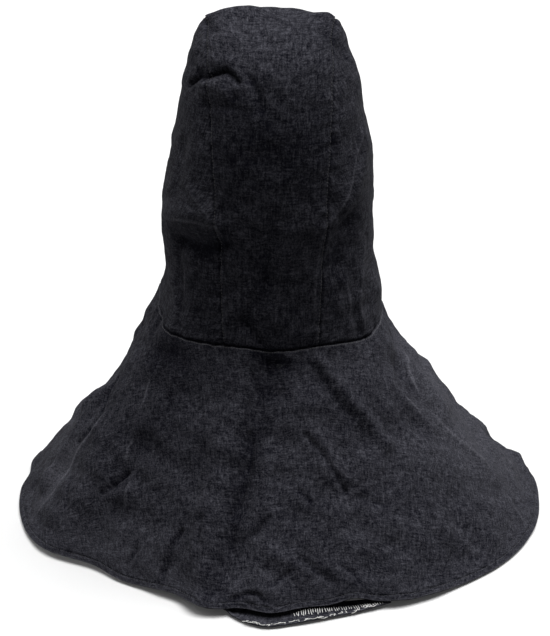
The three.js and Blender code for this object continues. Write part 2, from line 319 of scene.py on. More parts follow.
class NodeGraph:
    """Short way to add and join the nodes of a tree."""

    NOISE_ROUGHNESS = 0.6

    def __init__(self, tree: bpy.types.NodeTree) -> None:
        """Works on a tree that has been emptied."""
        self.tree = tree
        tree.nodes.clear()

    def add(self, kind: str, settings: dict[str, object] | None = None, **inputs: object) -> bpy.types.Node:
        """Adds one node.

        Args:
            kind: The node's type.
            settings: Its own properties.
            inputs: Values, or sockets to join, by input name with _ for a space.

        Returns:
            The node.
        """
        node = self.tree.nodes.new(kind)
        for name, value in (settings or {}).items():
            setattr(node, name, value)
        for name, value in inputs.items():
            self.feed(node.inputs[name.replace("_", " ")], value)
        return node

    def feed(self, socket: bpy.types.NodeSocket, value: object) -> None:
        """Joins a socket to an input, or sets its value.

        Args:
            socket: The input.
            value: A socket to join, or a value.
        """
        if isinstance(value, bpy.types.NodeSocket):
            self.tree.links.new(value, socket)
        else:
            socket.default_value = value

    def math(self, operation: str, *values: object) -> bpy.types.NodeSocket:
        """Adds a Math node.

        Args:
            operation: Its operation.
            values: Values, or sockets to join, in the order of its inputs.

        Returns:
            Its result.
        """
        node = self.add("ShaderNodeMath", {"operation": operation})
        for socket, value in zip(node.inputs, values):
            self.feed(socket, value)
        return node.outputs[0]

    def stretch(self, vector: bpy.types.NodeSocket, scale: Sequence[float]) -> bpy.types.NodeSocket:
        """Scales a vector.

        Args:
            vector: The vector.
            scale: Its fixed scale on each axis.

        Returns:
            The scaled vector.
        """
        node = self.add("ShaderNodeVectorMath", {"operation": "MULTIPLY"})
        self.feed(node.inputs[0], vector)
        self.feed(node.inputs[1], tuple(scale))
        return node.outputs[0]

    def noise(
        self,
        vector: bpy.types.NodeSocket,
        scale: Sequence[float],
        detail: float = 2.0,
    ) -> bpy.types.NodeSocket:
        """Noise about 0.

        Args:
            vector: The place that it is read at.
            scale: Grains a metre on each axis.
            detail: How many finer layers it has.

        Returns:
            The noise.
        """
        node = self.add("ShaderNodeTexNoise", Scale=1.0, Detail=detail, Roughness=self.NOISE_ROUGHNESS)
        self.feed(node.inputs["Vector"], self.stretch(vector, scale))
        return self.math("SUBTRACT", node.outputs[0], 0.5)

    def bump(self, relief: bpy.types.NodeSocket, strength: float, height: float) -> bpy.types.NodeSocket:
        """Way that a surface with that relief faces."""
        return self.add("ShaderNodeBump", Strength=strength, Distance=height, Height=relief).outputs[0]

    def total(self, *parts: tuple[bpy.types.NodeSocket, float]) -> bpy.types.NodeSocket:
        """Sums sockets.

        Args:
            parts: Sockets, each with its own share.

        Returns:
            The sum.
        """
        result = self.math("MULTIPLY", parts[0][0], parts[0][1])
        for socket, share in parts[1:]:
            result = self.math("MULTIPLY_ADD", socket, share, result)
        return result

    def blend(self, share: bpy.types.NodeSocket, first: object, second: object) -> bpy.types.NodeSocket:
        """Mixes two colours.

        Args:
            share: Share of the second, from 0 to 1.
            first: A colour or a socket.
            second: A colour or a socket.

        Returns:
            The mixed colour.
        """
        node = self.add("ShaderNodeMix", {"data_type": "RGBA"})
        self.feed(node.inputs[0], share)
        for socket, colour in ((node.inputs[6], first), (node.inputs[7], second)):
            self.feed(socket, (*colour, 1.0) if isinstance(colour, tuple) else colour)
        return node.outputs[2]


def new_material(name: str) -> tuple[bpy.types.Material, NodeGraph]:
    """Makes a node material.

    Args:
        name: Its name.

    Returns:
        The material, and its emptied tree.
    """
    material = bpy.data.materials.new(name)
    material.use_nodes = True
    return material, NodeGraph(material.node_tree)


@dataclass(frozen=True)
class Grain:
    """Noise in the cloth: grains a metre across and along it, shares of tone and relief, and detail."""

    across: float
    along: float
    tone: float
    relief: float = 0.0
    detail: float = 2.0

    def noise(self, graph: NodeGraph, cloth: bpy.types.NodeSocket) -> bpy.types.NodeSocket:
        """The noise on the cloth's pattern."""
        return graph.noise(cloth, (self.across, self.along, 1.0), self.detail)


@dataclass(frozen=True)
class DenimFinish:
    """Speckled dark denim, with a twill weave, slubs, fading and worn creases, and painted light and shade.
    """

    name: str
    deep: Colour
    pale: Colour
    # Colour of worn cloth, also of painted light patches.
    worn: Colour
    base: float = 0.525
    depth: float = 1.8
    # How much the painted shade darkens the cloth.
    dye_hold: float = 0.36
    rub_grain: float = 2.6
    rub_base: float = 0.75
    twill: float = 0.0011
    twill_slant: tuple[float, float] = (0.55, 0.84)
    twill_tone: float = 0.04
    twill_relief: float = 0.16
    bump_strength: float = 0.55
    bump_height: float = 0.0011
    roughness: float = 0.9
    rough_vary: float = 0.2
    specular: float = 0.05
    sheen: float = 0.03
    sheen_roughness: float = 0.45

    GRAINS = {
        "speck": Grain(900, 820, 0.8, detail=1.0),
        "fleck": Grain(480, 430, 1.15, 0.7),
        "warp": Grain(620, 90, 0.7, 0.5),
        "weft": Grain(100, 560, 0.65, 0.4),
        "warp slub": Grain(250, 80, 0.825, 0.88),
        "weft slub": Grain(90, 230, 0.75, 0.8),
        "mottle": Grain(95, 80, 0.24),
        "cloud": Grain(40, 34, 0.2),
        "fading": Grain(14, 11, 0.28),
    }

    def material(self) -> bpy.types.Material:
        """Builds the node material, which reads the cloth's flat pattern and its wear with painted light and
        shade.

        Returns:
            The material.
        """
        material, graph = new_material(self.name)
        cloth = graph.add("ShaderNodeUVMap", {"uv_map": PATTERN}).outputs[0]
        # The attribute holds real wear and painted light above 0, painted shade below 0.
        worn = graph.add("ShaderNodeAttribute", {"attribute_name": WEAR_AND_SHADING}).outputs["Fac"]
        worn_and_lit_share = graph.math("MAXIMUM", worn, 0.0)
        # Painted shade: darker cloth where shade falls in dents, seams and shadowed patches.
        painted_shade = graph.math("MINIMUM", worn, 0.0)
        noises = {name: grain.noise(graph, cloth) for name, grain in self.GRAINS.items()}
        split = graph.add("ShaderNodeSeparateXYZ", Vector=cloth)
        pace = 2 * math.pi / self.twill
        slant = graph.total(*((split.outputs[k], share * pace) for k, share in enumerate(self.twill_slant)))
        twill = graph.math("SINE", slant)
        tones = [(noises[name], grain.tone) for name, grain in self.GRAINS.items()]
        shade = graph.total(*tones, (twill, self.twill_tone), (painted_shade, self.dye_hold))
        tone = graph.math("ADD", shade, self.base)
        tone.node.use_clamp = True
        colour = graph.blend(graph.math("POWER", tone, self.depth), self.deep, self.pale)
        patchy = graph.math("MULTIPLY_ADD", noises["fleck"], self.rub_grain, self.rub_base)
        worn_and_lit_blend = graph.math("MULTIPLY", worn_and_lit_share, patchy)
        worn_and_lit_blend.node.use_clamp = True
        reliefs = [(noises[name], grain.relief) for name, grain in self.GRAINS.items() if grain.relief]
        relief = graph.total(*reliefs, (twill, self.twill_relief))
        shader = graph.add(
            "ShaderNodeBsdfPrincipled",
            Base_Color=graph.blend(worn_and_lit_blend, colour, self.worn),
            Roughness=graph.math("MULTIPLY_ADD", noises["mottle"], self.rough_vary, self.roughness),
            Normal=graph.bump(relief, self.bump_strength, self.bump_height),
            Specular_IOR_Level=self.specular,
            Sheen_Weight=self.sheen,
            Sheen_Roughness=self.sheen_roughness,
        )
        graph.add("ShaderNodeOutputMaterial", Surface=shader.outputs[0])
        return material


@dataclass(frozen=True)
class ThreadFinish:
    """Twisted sewing thread: its colours, the grains a metre of its twist and soil, and its surface."""

    name: str
    dark: Colour
    light: Colour
    twist: float = 2600.0
    twist_share: float = 1.2
    soil: float = 60.0
    bump_strength: float = 0.4
    bump_height: float = 0.0003
    roughness: float = 0.75
    rough_vary: float = 0.2
    sheen: float = 0.2

    def material(self) -> bpy.types.Material:
        """Builds the node material on the piece's own place in space.

        Returns:
            The material.
        """
        material, graph = new_material(self.name)
        place = graph.add("ShaderNodeTexCoord").outputs["Object"]
        twist, soil = (graph.noise(place, (grains,) * 3) for grains in (self.twist, self.soil))
        share = graph.math("ADD", graph.total((twist, self.twist_share), (soil, 1.0)), 0.5)
        share.node.use_clamp = True
        shader = graph.add(
            "ShaderNodeBsdfPrincipled",
            Base_Color=graph.blend(share, self.dark, self.light),
            Roughness=graph.math("MULTIPLY_ADD", soil, self.rough_vary, self.roughness),
            Normal=graph.bump(twist, self.bump_strength, self.bump_height),
            Sheen_Weight=self.sheen,
        )
        graph.add("ShaderNodeOutputMaterial", Surface=shader.outputs[0])
        return material


@dataclass(frozen=True)
class FloorFinish:
    """Matt white studio floor, with a faint unevenness of its paint."""

    name: str = "white_floor"
    colour: Colour = (0.88, 0.88, 0.88)
    glow: float = 0.03
    grain: float = 30.0
    roughness: float = 0.9
    rough_vary: float = 0.1

    def material(self) -> bpy.types.Material:
        """Builds the node material.

        Returns:
            The material.
        """
        material, graph = new_material(self.name)
        place = graph.add("ShaderNodeTexCoord").outputs["Object"]
        grain = graph.noise(place, (self.grain,) * 3)
        shader = graph.add(
            "ShaderNodeBsdfPrincipled",
            Base_Color=(*self.colour, 1.0),
            Roughness=graph.math("MULTIPLY_ADD", grain, self.rough_vary, self.roughness),
            Specular_IOR_Level=0.0,
            Emission_Color=(1.0, 1.0, 1.0, 1.0),
            Emission_Strength=self.glow,
        )
        graph.add("ShaderNodeOutputMaterial", Surface=shader.outputs[0])
        return material


DENIM_FACE = DenimFinish("denim_face", (0.0025, 0.0027, 0.0066), (0.098, 0.098, 0.1175), (0.18, 0.18, 0.21))
DENIM_BACK = DenimFinish("denim_reverse", (0.02, 0.021, 0.026), (0.19, 0.19, 0.215), (0.22, 0.22, 0.25))
DENIM_THREAD = ThreadFinish("seam_thread", (0.006, 0.006, 0.009), (0.04, 0.04, 0.05))
PALE_THREAD = ThreadFinish("neck_thread", (0.03, 0.03, 0.034), (0.13, 0.13, 0.145))
OVERLOCK_THREAD = ThreadFinish("overlock_thread", (0.7, 0.7, 0.68), (0.95, 0.95, 0.93))


@dataclass
class Finishes:
    """The materials of the hood, made once."""

    face: bpy.types.Material = field(default_factory=DENIM_FACE.material)
    reverse: bpy.types.Material = field(default_factory=DENIM_BACK.material)
    thread: bpy.types.Material = field(default_factory=DENIM_THREAD.material)
    pale_thread: bpy.types.Material = field(default_factory=PALE_THREAD.material)
    overlock: bpy.types.Material = field(default_factory=OVERLOCK_THREAD.material)


@dataclass(frozen=True)
class Place:
    """Where the hood's own axis stands in the shared frame, in millimetres."""

    x: float
    y: float

    @classmethod
    def of_frame(cls, axis_x: float, front_reach: float) -> "Place":
        """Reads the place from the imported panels.

        Args:
            axis_x: The bag's axis as the hood's own measures give it.
            front_reach: The cape's reach to the front.

        Returns:
            The place.
        """
        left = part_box("side_panel_left")[1].x
        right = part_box("side_panel_right")[0].x
        return cls((left + right) / 2 / MM - axis_x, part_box("cape")[1].y / MM - front_reach)

    def metres(self, points: Array) -> Array:
        """Points of the hood in the shared frame, in metres."""
        return (points + np.array([self.x, self.y, 0.0])) * MM


@dataclass
class Cloth:
    """A sheet of cloth as rows of points, outer side up, with its flat pattern and its wear with painted
    light and shade.
    """

    points: Array
    pattern: Array
    wear: Array
    wall: Array
    kept: NDArray[np.bool_] | None = None

    THICKNESS = 3.0

    def row_spans(self) -> int:
        """Number of spans between its rows."""
        return self.points.shape[0] - 1

    def corners(self, columns: int) -> NDArray[np.int64]:
        """Numbers the corners of its quads.

        Args:
            columns: Columns of the table that the numbers count in.

        Returns:
            Four numbers for each quad.
        """
        spans = self.pattern.shape[1] - 1
        row, column = np.meshgrid(np.arange(self.row_spans()), np.arange(spans), indexing="ij")
        above, following = (row + 1) % self.points.shape[0], (column + 1) % columns
        quads = [(row, column), (row, following), (above, following), (above, column)]
        return np.stack([r * columns + c for r, c in quads], axis=-1).reshape(-1, 4)

    def bare(self, name: str, place: Place, finishes: Finishes) -> tuple[bpy.types.Object, NDArray[np.int64]]:
        """Makes the mesh of its rows.

        Args:
            name: The piece's name.
            place: Where the hood stands.
            finishes: Its materials.

        Returns:
            The object, and the numbers of the points that it uses.
        """
        columns = self.points.shape[1]
        quads = self.corners(columns)
        marks = self.corners(self.pattern.shape[1])
        if self.kept is not None:
            quads, marks = quads[self.kept.ravel()], marks[self.kept.ravel()]
        used, renamed = np.unique(quads, return_inverse=True)
        mesh = bpy.data.meshes.new(name)
        places = place.metres(self.points).reshape(-1, 3)[used]
        mesh.from_pydata(places.tolist(), [], renamed.reshape(-1, 4).tolist())
        layer = mesh.uv_layers.new(name=PATTERN)
        layer.uv.foreach_set("vector", (self.pattern.reshape(-1, 2)[marks.ravel()] * MM).ravel())
        mesh.attributes.new(WEAR_AND_SHADING, "FLOAT", "POINT").data.foreach_set("value", self.wear.ravel()[used])
        for finish in (finishes.face, finishes.reverse):
            mesh.materials.append(finish)
        mesh.polygons.foreach_set("use_smooth", np.ones(len(quads), dtype=bool))
        return placed(name, mesh), used

    def piece(self, name: str, place: Place, finishes: Finishes) -> bpy.types.Object:
        """Makes the walled mesh.

        Args:
            name: The piece's name.
            place: Where the hood stands.
            finishes: Its materials.

        Returns:
            The object, at the origin with its place in its mesh.
        """
        piece, used = self.bare(name, place, finishes)
        group = piece.vertex_groups.new(name="wall")
        shares = np.round(self.wall.ravel()[used], 2)
        for share in np.unique(shares):
            group.add(np.nonzero(shares == share)[0].tolist(), float(share), "REPLACE")
        wall = piece.modifiers.new("wall", "SOLIDIFY")
        wall.thickness = self.THICKNESS * MM
        wall.offset = -1.0
        wall.vertex_group = group.name
        wall.material_offset = 1
        settle(piece)
        piece.vertex_groups.clear()
        return piece


@dataclass
class RingCloth(Cloth):
    """A closed ring of cloth: rows up its outer side, then fewer rows down its inner side."""

    outer_rows: int = 0

    @classmethod
    def walled(cls, outer: Cloth, inner: NDArray[np.int64], slack: Array) -> "RingCloth":
        """Gives a sheet that closes on itself an inner side.

        Args:
            outer: The outer side.
            inner: Its rows that the inner side keeps.
            slack: How much further in the inner side hangs at each row, in millimetres.

        Returns:
            The ring.
        """
        loop = np.concatenate([outer.points[:, -1:], outer.points, outer.points[:, :1]], axis=1)
        along = loop[:, 2:] - loop[:, :-2]
        normal = unit(np.cross(along, np.gradient(outer.points, axis=0)))
        depth = outer.wall * cls.THICKNESS + slack[:, None]
        lining = outer.points - normal * depth[..., None]
        down = inner[::-1]
        return cls(
            np.concatenate([outer.points, lining[down]]),
            np.concatenate([outer.pattern, outer.pattern[down]]),
            np.concatenate([outer.wear, outer.wear[down]]),
            np.concatenate([outer.wall, outer.wall[down]]),
            outer_rows=len(outer.points),
        )

    def row_spans(self) -> int:
        """Number of spans between its rows, with the one that closes the hem."""
        return self.points.shape[0]

    def piece(self, name: str, place: Place, finishes: Finishes) -> bpy.types.Object:
        """Makes the mesh, with the cloth's reverse on its inner side.

        Args:
            name: The piece's name.
            place: Where the hood stands.
            finishes: Its materials.

        Returns:
            The object, at the origin with its place in its mesh.
        """
        piece, _ = self.bare(name, place, finishes)
        row = np.arange(self.row_spans()).repeat(self.points.shape[1])
        inside = (row >= self.outer_rows - 1) & (row < self.row_spans() - 1)
        piece.data.polygons.foreach_set("material_index", inside.astype(np.int32))
        return piece


def settle(piece: bpy.types.Object) -> None:
    """Applies a piece's modifiers to its mesh.

    Args:
        piece: The piece.
    """
    graph = bpy.context.evaluated_depsgraph_get()
    source = piece.evaluated_get(graph)
    mesh = bpy.data.meshes.new_from_object(source, preserve_all_data_layers=True, depsgraph=graph)
    old = piece.data
    piece.modifiers.clear()
    piece.data = mesh
    bpy.data.meshes.remove(old)
    mesh.name = piece.name


def report(piece: bpy.types.Object) -> bpy.types.Object:
    """Logs a finished piece."""
    LOG.info("%s: %d faces", piece.name, len(piece.data.polygons))
    return piece


class ThreadTree:
    """Base of the node trees that lay thread along a line."""

    NAME = "thread"
    SIDES = 6

    def __init__(self) -> None:
        """Makes the tree with its sockets."""
        self.tree = bpy.data.node_groups.new(self.NAME, "GeometryNodeTree")
        self.tree.is_modifier = True
        self.graph = NodeGraph(self.tree)
        self.names: dict[str, str] = {}
        self.socket("Line", "NodeSocketGeometry")
        for name in self.sizes():
            self.socket(name, "NodeSocketFloat")
        self.socket("Material", "NodeSocketMaterial")
        self.tree.interface.new_socket("Thread", in_out="OUTPUT", socket_type="NodeSocketGeometry")
        self.source = self.graph.add("NodeGroupInput")
        self.lay()

    def socket(self, name: str, kind: str) -> None:
        """Adds a named input and keeps its identifier."""
        self.names[name] = self.tree.interface.new_socket(name, in_out="INPUT", socket_type=kind).identifier

    def sizes(self) -> tuple[str, ...]:
        """Names of the tree's sizes."""
        return ("Thread Radius",)

    def given(self, name: str) -> bpy.types.NodeSocket:
        """Socket of a named input."""
        return self.source.outputs[name]

    def close(self, geometry: bpy.types.NodeSocket) -> None:
        """Ends the tree in plain faces of one material.

        Args:
            geometry: The thread so far.
        """
        real = self.graph.add("GeometryNodeRealizeInstances", Geometry=geometry)
        smooth = self.graph.add("GeometryNodeSetShadeSmooth", Geometry=real.outputs[0])
        done = self.graph.add("GeometryNodeSetMaterial", Geometry=smooth.outputs[0])
        self.graph.feed(done.inputs["Material"], self.given("Material"))
        self.graph.add("NodeGroupOutput", Thread=done.outputs[0])

    def lay(self) -> None:
        """Winds a round thread along the whole line."""
        line = self.graph.add("GeometryNodeMeshToCurve", Mesh=self.given("Line"))
        ring = self.graph.add("GeometryNodeCurvePrimitiveCircle", Resolution=self.SIDES)
        self.graph.feed(ring.inputs["Radius"], self.given("Thread Radius"))
        tube = self.graph.add("GeometryNodeCurveToMesh", Curve=line.outputs[0])
        self.graph.feed(tube.inputs["Profile Curve"], ring.outputs[0])
        self.graph.feed(tube.inputs["Fill Caps"], True)
        self.close(tube.outputs[0])

    def sew(
        self,
        name: str,
        lines: Sequence[Array],
        closed: bool,
        sizes: dict[str, float],
        material: bpy.types.Material,
    ) -> bpy.types.Object:
        """Lays thread along one line or several.

        Args:
            name: The piece's name.
            lines: Lines in the shared frame, in metres.
            closed: Whether the ends of each meet.
            sizes: Values of the tree's sizes, in metres.
            material: The thread's finish.

        Returns:
            The thread as a plain mesh.
        """
        edges: list[tuple[int, int]] = []
        start = 0
        for line in lines:
            count = len(line)
            edges += [(start + i, start + (i + 1) % count) for i in range(count if closed else count - 1)]
            start += count
        mesh = bpy.data.meshes.new(name)
        mesh.from_pydata(np.concatenate(lines).tolist(), edges, [])
        piece = placed(name, mesh)
        modifier = piece.modifiers.new(self.NAME, "NODES")
        modifier.node_group = self.tree
        for size, value in sizes.items():
            modifier[self.names[size]] = value
        modifier[self.names["Material"]] = material
        settle(piece)
        return piece


class StitchTree(ThreadTree):
    """Single stitches at an even pitch along a line, each a little different."""

    NAME = "stitches"
    SEED = 7
    RINGS = 4
    LEAST = (0.75, 0.85, 0.85)
    MOST = (1.08, 1.15, 1.15)

    def sizes(self) -> tuple[str, ...]:
        """Names of the tree's sizes."""
        return ("Pitch", "Stitch Length", "Thread Radius")

    def lay(self) -> None:
        """Sets one small spindle of thread at each pitch."""
        graph = self.graph
        line = graph.add("GeometryNodeMeshToCurve", Mesh=self.given("Line"))
        spaced = graph.add("GeometryNodeResampleCurve", {"mode": "LENGTH"}, Curve=line.outputs[0])
        graph.feed(spaced.inputs["Length"], self.given("Pitch"))
        ball = graph.add("GeometryNodeMeshUVSphere", Segments=self.SIDES, Rings=self.RINGS, Radius=1.0)
        half = graph.math("MULTIPLY", self.given("Stitch Length"), 0.5)
        size = graph.add("ShaderNodeCombineXYZ", X=half)
        graph.feed(size.inputs["Y"], self.given("Thread Radius"))
        graph.feed(size.inputs["Z"], self.given("Thread Radius"))
        stitch = graph.add("GeometryNodeTransform", Geometry=ball.outputs[0], Scale=size.outputs[0])
        tangent = graph.add("GeometryNodeInputTangent")
        aim = graph.add("FunctionNodeAlignRotationToVector", {"axis": "X"}, Vector=tangent.outputs[0])
        vary = graph.add("FunctionNodeRandomValue", {"data_type": "FLOAT_VECTOR"}, Seed=self.SEED)
        for socket, value in zip(vary.inputs, (self.LEAST, self.MOST)):
            graph.feed(socket, value)
        row = graph.add("GeometryNodeInstanceOnPoints", Points=spaced.outputs[0])
        graph.feed(row.inputs["Instance"], stitch.outputs[0])
        graph.feed(row.inputs["Rotation"], aim.outputs[0])
        graph.feed(row.inputs["Scale"], vary.outputs[0])
        self.close(row.outputs[0])


@dataclass(frozen=True)
class StitchSize:
    """Pitch, length and thread of a row of stitches, in millimetres."""

    pitch: float
    length: float
    radius: float

    def values(self) -> dict[str, float]:
        """The sizes under the tree's names, in metres."""
        sizes = {"Pitch": self.pitch, "Stitch Length": self.length, "Thread Radius": self.radius}
        return {name: size * MM for name, size in sizes.items()}


@dataclass(frozen=True)
class BagSection:
    """Level outline of the head bag: its height, reach to each side, and half the strip's width."""

    height: float
    left: float
    right: float
    back: float
    front: float
    seam: float


@dataclass(frozen=True)
class EdgeWave:
    """Place where an edge of the cloth lifts or pushes out: turn, spread in degrees, lift and reach."""

    turn: float
    spread: float
    lift: float
    out: float = 0.0


def wave_sum(waves: Sequence[EdgeWave], degrees: Array, column: str) -> Array:
    """Sum of one column of an edge's waves."""
    return sum(getattr(wave, column) * bell(turn_between(degrees, wave.turn), wave.spread) for wave in waves)


@dataclass
class HeadBag:
    """The head bag: a centre strip over the crown and a panel on each side, with a face opening."""

    axis_x: float = -12.0
    squareness: float = 2.2
    sections: tuple[BagSection, ...] = (
        BagSection(232, 132, 123, 112, 108, 51),
        BagSection(270, 117, 119, 113, 107, 53),
        BagSection(304, 115, 113, 113, 106, 54),
        BagSection(342, 118, 110, 115, 107, 56),
        BagSection(381, 114, 111, 117, 109, 58),
        BagSection(421, 106, 107, 117, 110, 60),
        BagSection(461, 99, 100, 113, 107, 63),
        BagSection(501, 91, 93, 102, 98, 65),
        BagSection(530, 82, 82, 84, 82, 66),
        BagSection(553, 72, 73, 52, 52, 66.5),
        BagSection(563, 67, 67, 0, 0, 67),
    )
    neck_waves: tuple[EdgeWave, ...] = (
        EdgeWave(-184, 20, 27),
        EdgeWave(5, 18, 5),
        EdgeWave(-37, 14, -6),
        EdgeWave(-92, 4, -2),
        EdgeWave(-82, 10, -3),
    )
    neck_blend: float = 2.0
    crown_arch: float = 8.0
    crown_share: float = 0.4
    crown_half: float = 67.0
    crown_rows: float = 2.0
    round_above: float = 490.0
    face_height: float = 402.0
    face_half_width: float = 76.0
    face_half_height: float = 96.0
    face_hem: float = 9.0
    face_from: float = 15.0
    face_zone: float = 40.0
    face_raise: float = 0.8
    least_reach: float = 0.05
    chin_place: float = 3.0
    brow_place: float = 5.3
    strip_end: float = 5.6
    side_stop: float = 0.3
    seam_slit: float = -0.6
    wall_share: float = 0.5
    neck_wall: float = 0.25
    neck_taper: float = 6.0
    neck_rows: tuple[float, ...] = (0.0, 0.015, 0.035, 0.06, 0.09, 0.13)
    even_from: float = 0.17
    strip_grid: tuple[int, int] = (300, 78)
    strip_crowding: float = 0.72
    side_grid: tuple[int, int] = (190, 130)
    side_crowding: float = 0.6
    stitch_start: float = 0.12
    stitch_stop: float = 0.05
    seam_proud: float = 0.15
    face_proud: float = 0.2
    ripples: tuple[Ripple, ...] = (Ripple(70, 0.9, 11), Ripple(27, 0.35, 12), Ripple(11, 0.11, 13))
    pucker: Ripple = Ripple(11, 0.45, 14)
    seam_pucker: float = 8.0
    neck_pucker: float = 9.0
    seam_stretch: tuple[float, float, float] = (0.25, 0.25, 1.0)
    neck_stretch: tuple[float, float, float] = (1.0, 1.0, 0.2)
    seam_groove: Mark = Mark(-1.4, 1.3)
    neck_groove: Mark = Mark(-0.8, 1.4)
    face_groove: Mark = Mark(-0.5, 1.6)
    seam_rub: Mark = Mark(0.1, 1.3, 2.6)
    # Painted shade along the groove of each long seam.
    seam_dye: Mark = Mark(-0.35, 1.6)
    face_rub: Mark = Mark(0.35, 2.0)
    # Painted shade along the groove of the neck seam.
    neck_dye: Mark = Mark(-0.9, 1.5)
    # Patches of painted light (above 0) and painted shade (below 0).
    fades: tuple[PaintedShading, ...] = (
        PaintedShading(-92, 458, 42, 46, -0.38),
        PaintedShading(-90, 563, 70, 22, -0.06),
        PaintedShading(-130, 270, 18, 45, -0.2),
        PaintedShading(-30, 450, 25, 70, -0.08),
        PaintedShading(-54, 315, 9, 34, -0.3),
        PaintedShading(-31, 546, 9, 9, -0.35),
    )
    folds: tuple[Fold, ...] = (
        Fold(
            ((-156, 500), (-146, 511), (-140, 511), (-131, 518), (-121, 523), (-116, 520), (-110, 514)),
            3.0,
            -6,
            -0.6,
        ),
        Fold(((-148, 516), (-141, 516)), 4, -2.5, -0.3),
        Fold(((-139, 503), (-125, 509), (-119, 506)), 8, 4),
        Fold(((-150, 523), (-136, 529), (-118, 532)), 7, 2.5),
        Fold(((-115, 510), (-112, 499)), 3.6, -2.5, -0.25),
        Fold(((-135, 486), (-110, 490)), 4.5, -1.8, -0.2),
        Fold(((-134, 490), (-130, 463)), 7, -2, -0.15),
        Fold(((-101, 517), (-97, 506), (-94, 490)), 3.4, -3, -0.35),
        Fold(((-106, 512), (-103, 496)), 7, 1.6),
        Fold(((-38, 554), (-32, 549), (-26, 541), (-21, 529)), 9, -3, -0.4),
        Fold(((-165, 560), (-141, 554)), 6, -3, -0.3),
        Fold(((-96, 558), (-92, 546)), 4, -1.6),
        Fold(((-132, 563), (-108, 563)), 17, 7),
        Fold(((-86, 563), (-58, 563)), 14, -5),
        Fold(((-54, 563), (-36, 563)), 11, 6.5),
        Fold(
            ((-168, 349), (-150, 358), (-140, 363), (-128, 366), (-116, 366), (-114, 356)),
            2.4,
            0.9,
            0.8,
            FoldShape.CREASE,
        ),
        Fold(((-158, 358), (-142, 368), (-124, 373)), 11, 4),
        Fold(((-142, 336), (-126, 339), (-112, 342)), 10, -9, -0.95),
        Fold(((-128, 326), (-115, 322)), 9, -4, -0.3),
        Fold(((-138, 397), (-124, 384), (-115, 366)), 6, 2, 0.25),
        Fold(((-20, 452), (-36, 427), (-45, 398), (-53, 379), (-64, 364)), 3, 1.3, 0.45, FoldShape.CREASE),
        Fold(((-64, 364), (-64, 344), (-66, 325), (-68, 301), (-70, 241)), 3, 0.8, 0.3, FoldShape.CREASE),
        Fold(((-18, 440), (-36, 400), (-48, 378)), 12, 3.5),
        Fold(((-52, 374), (-43, 356)), 8, -2.5, -0.3),
        Fold(((-44, 366), (-50, 352), (-53, 320)), 12, -5, -0.1),
        Fold(((-41, 348), (-44, 286), (-42, 240)), 6, -2.2),
        Fold(((-48, 300), (-46, 246)), 2.5, 0.8, 0.3, FoldShape.CREASE),
        Fold(((-28, 330), (-38, 271), (-36, 240)), 4, 1.8, 0.4, FoldShape.CREASE),
        Fold(((-118, 374), (-62, 370)), 14, 2.2),
        Fold(((-102, 306), (-76, 304)), 5, -1.2, -0.15),
        Fold(((-92, 322), (-92, 301)), 5, -1.2, -0.25),
        Fold(((-88, 374), (-91, 343), (-92, 307), (-96, 280), (-101, 258)), 9, -3.2, -0.22),
        Fold(((-83, 360), (-85, 308), (-88, 265)), 10, 2.5, 0.06),
        Fold(((-102, 260), (-98, 250), (-94, 240), (-92, 234)), 4.5, -3, -0.5),
        Fold(((-147, 334), (-146, 290), (-140, 242)), 8, -3, -0.1),
        Fold(((-160, 285), (-146, 258), (-143, 236)), 3.5, 2, 0.45, FoldShape.CREASE),
        Fold(((-143, 314), (-142, 270)), 3, 0.9, 0.3, FoldShape.CREASE),
        Fold(((-130, 312), (-126, 244)), 7, -1.6, -0.1),
        Fold(((-150, 440), (-153, 385)), 9, -2),
        Fold(((-52, 456), (-53, 444)), 4, -1.8, -0.4),
    )

    def __post_init__(self) -> None:
        """Lays the splines through the table and the folds on the smooth surface."""
        self.top = len(self.sections) - 1
        self.neck_span = self.sections[1].height - self.sections[0].height
        self.columns = {column.name: self.column(column.name) for column in fields(BagSection)}
        self.fine_places = np.linspace(0.0, self.top, FINE_STEPS)
        self.fine_heights = self.columns["height"].at(self.fine_places)
        self.field = FoldField(self.folds, self.at_height)

    def column(self, name: str) -> EvenSpline:
        """Lays a spline through one column, run on past the neck and mirrored over the crown.

        Args:
            name: The column's name.

        Returns:
            The spline.
        """
        values = [getattr(row, name) for row in self.sections]
        over = -1.0 if name in ("back", "front") else 1.0
        return EvenSpline(values, 2 * values[0] - values[1], over * values[-2])

    def place_at(self, height: Array) -> Array:
        """Place in the table at a height."""
        return np.interp(height, self.fine_heights, self.fine_places)

    def at_height(self, height: Array, degrees: Array) -> Array:
        """Bag without its folds, at heights in millimetres and turns in degrees."""
        return self.smooth(self.place_at(height), np.radians(degrees))

    def side_at(self, place: Array, x: Array) -> Array:
        """Reach of the outline to the left or right."""
        return np.where(x < 0, self.columns["left"].at(place), self.columns["right"].at(place))

    def smooth(self, place: Array, turn: Array) -> Array:
        """Bag without its folds.

        Args:
            place: Places up from the neck seam, in rows of the table.
            turn: Turns about the bag's axis in radians.

        Returns:
            Points in millimetres.
        """
        rise = wave_sum(self.neck_waves, np.degrees(turn), "lift")
        near_neck = np.clip(1.0 - place / self.neck_blend, 0.0, 1.0)
        return self.outline(place + rise / self.neck_span * near_neck, turn)

